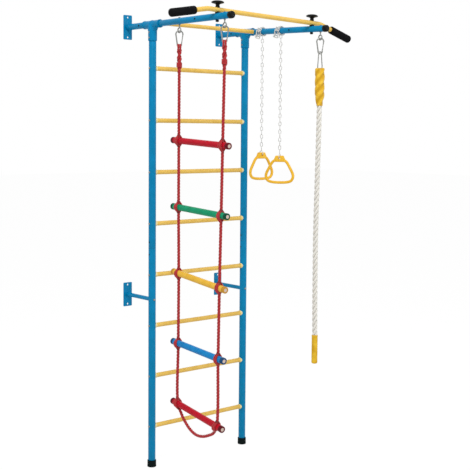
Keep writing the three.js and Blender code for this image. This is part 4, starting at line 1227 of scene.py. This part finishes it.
def addClimbingRope():
    seat = hookBottom("rope")
    rise = (hooks["wire"] + climbing["shackle"]) / 2 + climbing["ride"]
    top = rise - climbing["height"]
    bore = climbing["rope"] / 2 + climbing["fit"]
    addShackle(seat, rise)
    addRopeSleeve(seat, top, bore)
    # the rope starts inside the sleeve and ends inside the whipping
    sleeveEnd = top - climbing["sleeveLength"]
    low = sleeveEnd - climbing["ropeLength"] - climbing["whippingLength"]
    start = top - climbing["sleeveTop"] - climbing["play"]
    end = low + climbing["whippingEnd"] + climbing["play"]
    whippingTop = end + climbing["whippingLength"] - climbing["whippingEnd"]
    bows, step = climbing["bows"], climbing["step"]
    span = whippingTop - sleeveEnd
    points = [(0, start)]
    points += [(bow, sleeveEnd + span * k / (len(bows) - 1)) for k, bow in enumerate(bows)]
    points += [(bows[-1], end)]
    line = evenLine(smoothLine([seat + Vector((0, y, z)) * mm for y, z in points], 12), step * mm)
    strands = strandPoints(line, 3, climbing["offset"], evenTurns(len(line), step, climbing["lay"]))
    rope = ropePiece(strands, line, climbing["strand"], climbing["reach"], sides=4)
    finishPiece(rope, "climbingRope", "climbing_rope", paleRope, ["climbing_rope"],
                angle=60)
    whipping = addWhipping(seat + Vector((0, bows[-1], low)) * mm, bore)
    declareCord(rope, line, climbing["rope"])


addClimbingRope()
print("climbing rope made")


# bolt heads on posts, tees and brackets, and plugs in the arms, as (radius, height)
bolts = {
    "dome": (5.2, 3.4), "splice": (3.6, 2), "tee": (4.4, 3), "plug": (4.2, 2),
    "fromSplice": 30, "teeHeights": (2098, 2124), "stubY": -116, "plugReach": 343,
}


def boltHead(place, direction, radius, height):
    profile = [(0, -2), (radius - 0.6, -2), (radius, -0.4), (radius, height * 0.35),
               (radius * 0.86, height * 0.7), (radius * 0.5, height * 0.95), (0, height)]
    return turnedPiece(profile, place, direction, 20)


def addBolts():
    steel, dark = [], []
    post, left, front = posts["outer"] / 2 * mm, Vector((-1, 0, 0)), Vector((0, -1, 0))
    for side, sign in setSize["sides"].items():
        out, axis = Vector((sign, 0, 0)), postFoot(side)
        for i in range(rungs["count"]):
            steel.append(boltHead(axis + out * post + up * rungHeight(i) * mm, out, *bolts["dome"]))
        for z in (posts["splice"] - bolts["fromSplice"], posts["splice"] + bolts["fromSplice"]):
            dark.append(boltHead(axis + left * post + up * z * mm, left, *bolts["splice"]))
        steel.append(boltHead(axis + front * post + up * plates["lowerZ"] * mm, front, *bolts["dome"]))
        for z in bolts["teeHeights"]:
            steel.append(boltHead(axis + (left * tees["sleeve"] / 2 + up * z) * mm, left, *bolts["tee"]))
        stub = Vector((sideX(side), bolts["stubY"], setSize["armZ"])) * mm
        for place in (stub, armPoint(side, bolts["plugReach"])):
            dark.append(boltHead(place + left * setSize["arm"] / 2 * mm, left, *bolts["plug"]))
    finishPiece(joined(steel), "boltHeads", "frame", zincSteel)
    finishPiece(joined(dark), "darkPlugs", "frame", blackPlastic)


addBolts()
print("bolts made")


# inner sleeves of the post joints keep their solids
for side in setSize["sides"]:
    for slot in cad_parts[f"{side}_splice_sleeve"].material_slots:
        slot.material = zincSteel


# floor, world and lamps, in metres; a lamp has its place, size and power
studio = {
    "floor": "#F4F4F4", "white": 1.06, "shadow": 0.14, "sky": 0.6, "size": 60, "under": 0.0005,
    "lamps": {"keyLamp": ((-2.4, -2.8, 5.2), 2.0, 130), "fillLamp": ((3.0, -4.2, 2.6), 3.0, 30)},
    "aim": (0, -0.4, 1.2),
}


def backdropRays(tree):
    # 1 for the rays that should see the white backdrop: the camera's, mirrored and passed through
    rays = addNode(tree, "ShaderNodeLightPath")
    mirrored = addNode(tree, "ShaderNodeMath", {"operation": "MAXIMUM"},
                       {0: rays.outputs["Is Camera Ray"], 1: rays.outputs["Is Glossy Ray"]})
    return addNode(tree, "ShaderNodeMath", {"operation": "MAXIMUM"},
                   {0: mirrored.outputs[0], 1: rays.outputs["Is Transmission Ray"]}).outputs[0]


def addStudio():
    clearSelection()
    bpy.ops.mesh.primitive_plane_add(size=studio["size"], location=(0, 0, -studio["under"]))
    floor = bpy.context.object
    floor.name = "floor"
    material, tree, shader = startMaterial("paleFloor", Roughness=1.0, Specular_IOR_Level=0.0)
    shader.inputs["Base Color"].default_value = linear(studio["floor"])
    white = addNode(tree, "ShaderNodeEmission", {"Strength": studio["white"]})
    share = addNode(tree, "ShaderNodeMath", {"operation": "MULTIPLY"}, {0: backdropRays(tree)})
    share.inputs[1].default_value = 1 - studio["shadow"]
    mix = addNode(tree, "ShaderNodeMixShader", links={0: share.outputs[0], 1: shader.outputs["BSDF"],
                                                      2: white.outputs["Emission"]})
    tree.links.new(mix.outputs["Shader"], tree.nodes["Material Output"].inputs["Surface"])
    floor.data.materials.append(material)

    world = bpy.data.worlds.new("studio")
    bpy.context.scene.world = world
    world.use_nodes = True
    tree = world.node_tree
    soft = tree.nodes["Background"]
    soft.inputs["Color"].default_value = (1, 1, 1, 1)
    soft.inputs["Strength"].default_value = studio["sky"]
    clear = addNode(tree, "ShaderNodeBackground", {"Color": (1, 1, 1, 1), "Strength": 1.0})
    mix = addNode(tree, "ShaderNodeMixShader", links={0: backdropRays(tree), 1: soft.outputs["Background"],
                                                      2: clear.outputs["Background"]})
    tree.links.new(mix.outputs["Shader"], tree.nodes["World Output"].inputs["Surface"])

    for name, (place, size, power) in studio["lamps"].items():
        bpy.ops.object.light_add(type="AREA", location=place)
        lamp = bpy.context.object
        lamp.name = name
        lamp.data.size = size
        lamp.data.energy = power
        lamp.rotation_euler = aimed(Vector(place) - Vector(studio["aim"]))


addStudio()
bpy.context.scene.view_settings.view_transform = "Standard"
print("studio set")
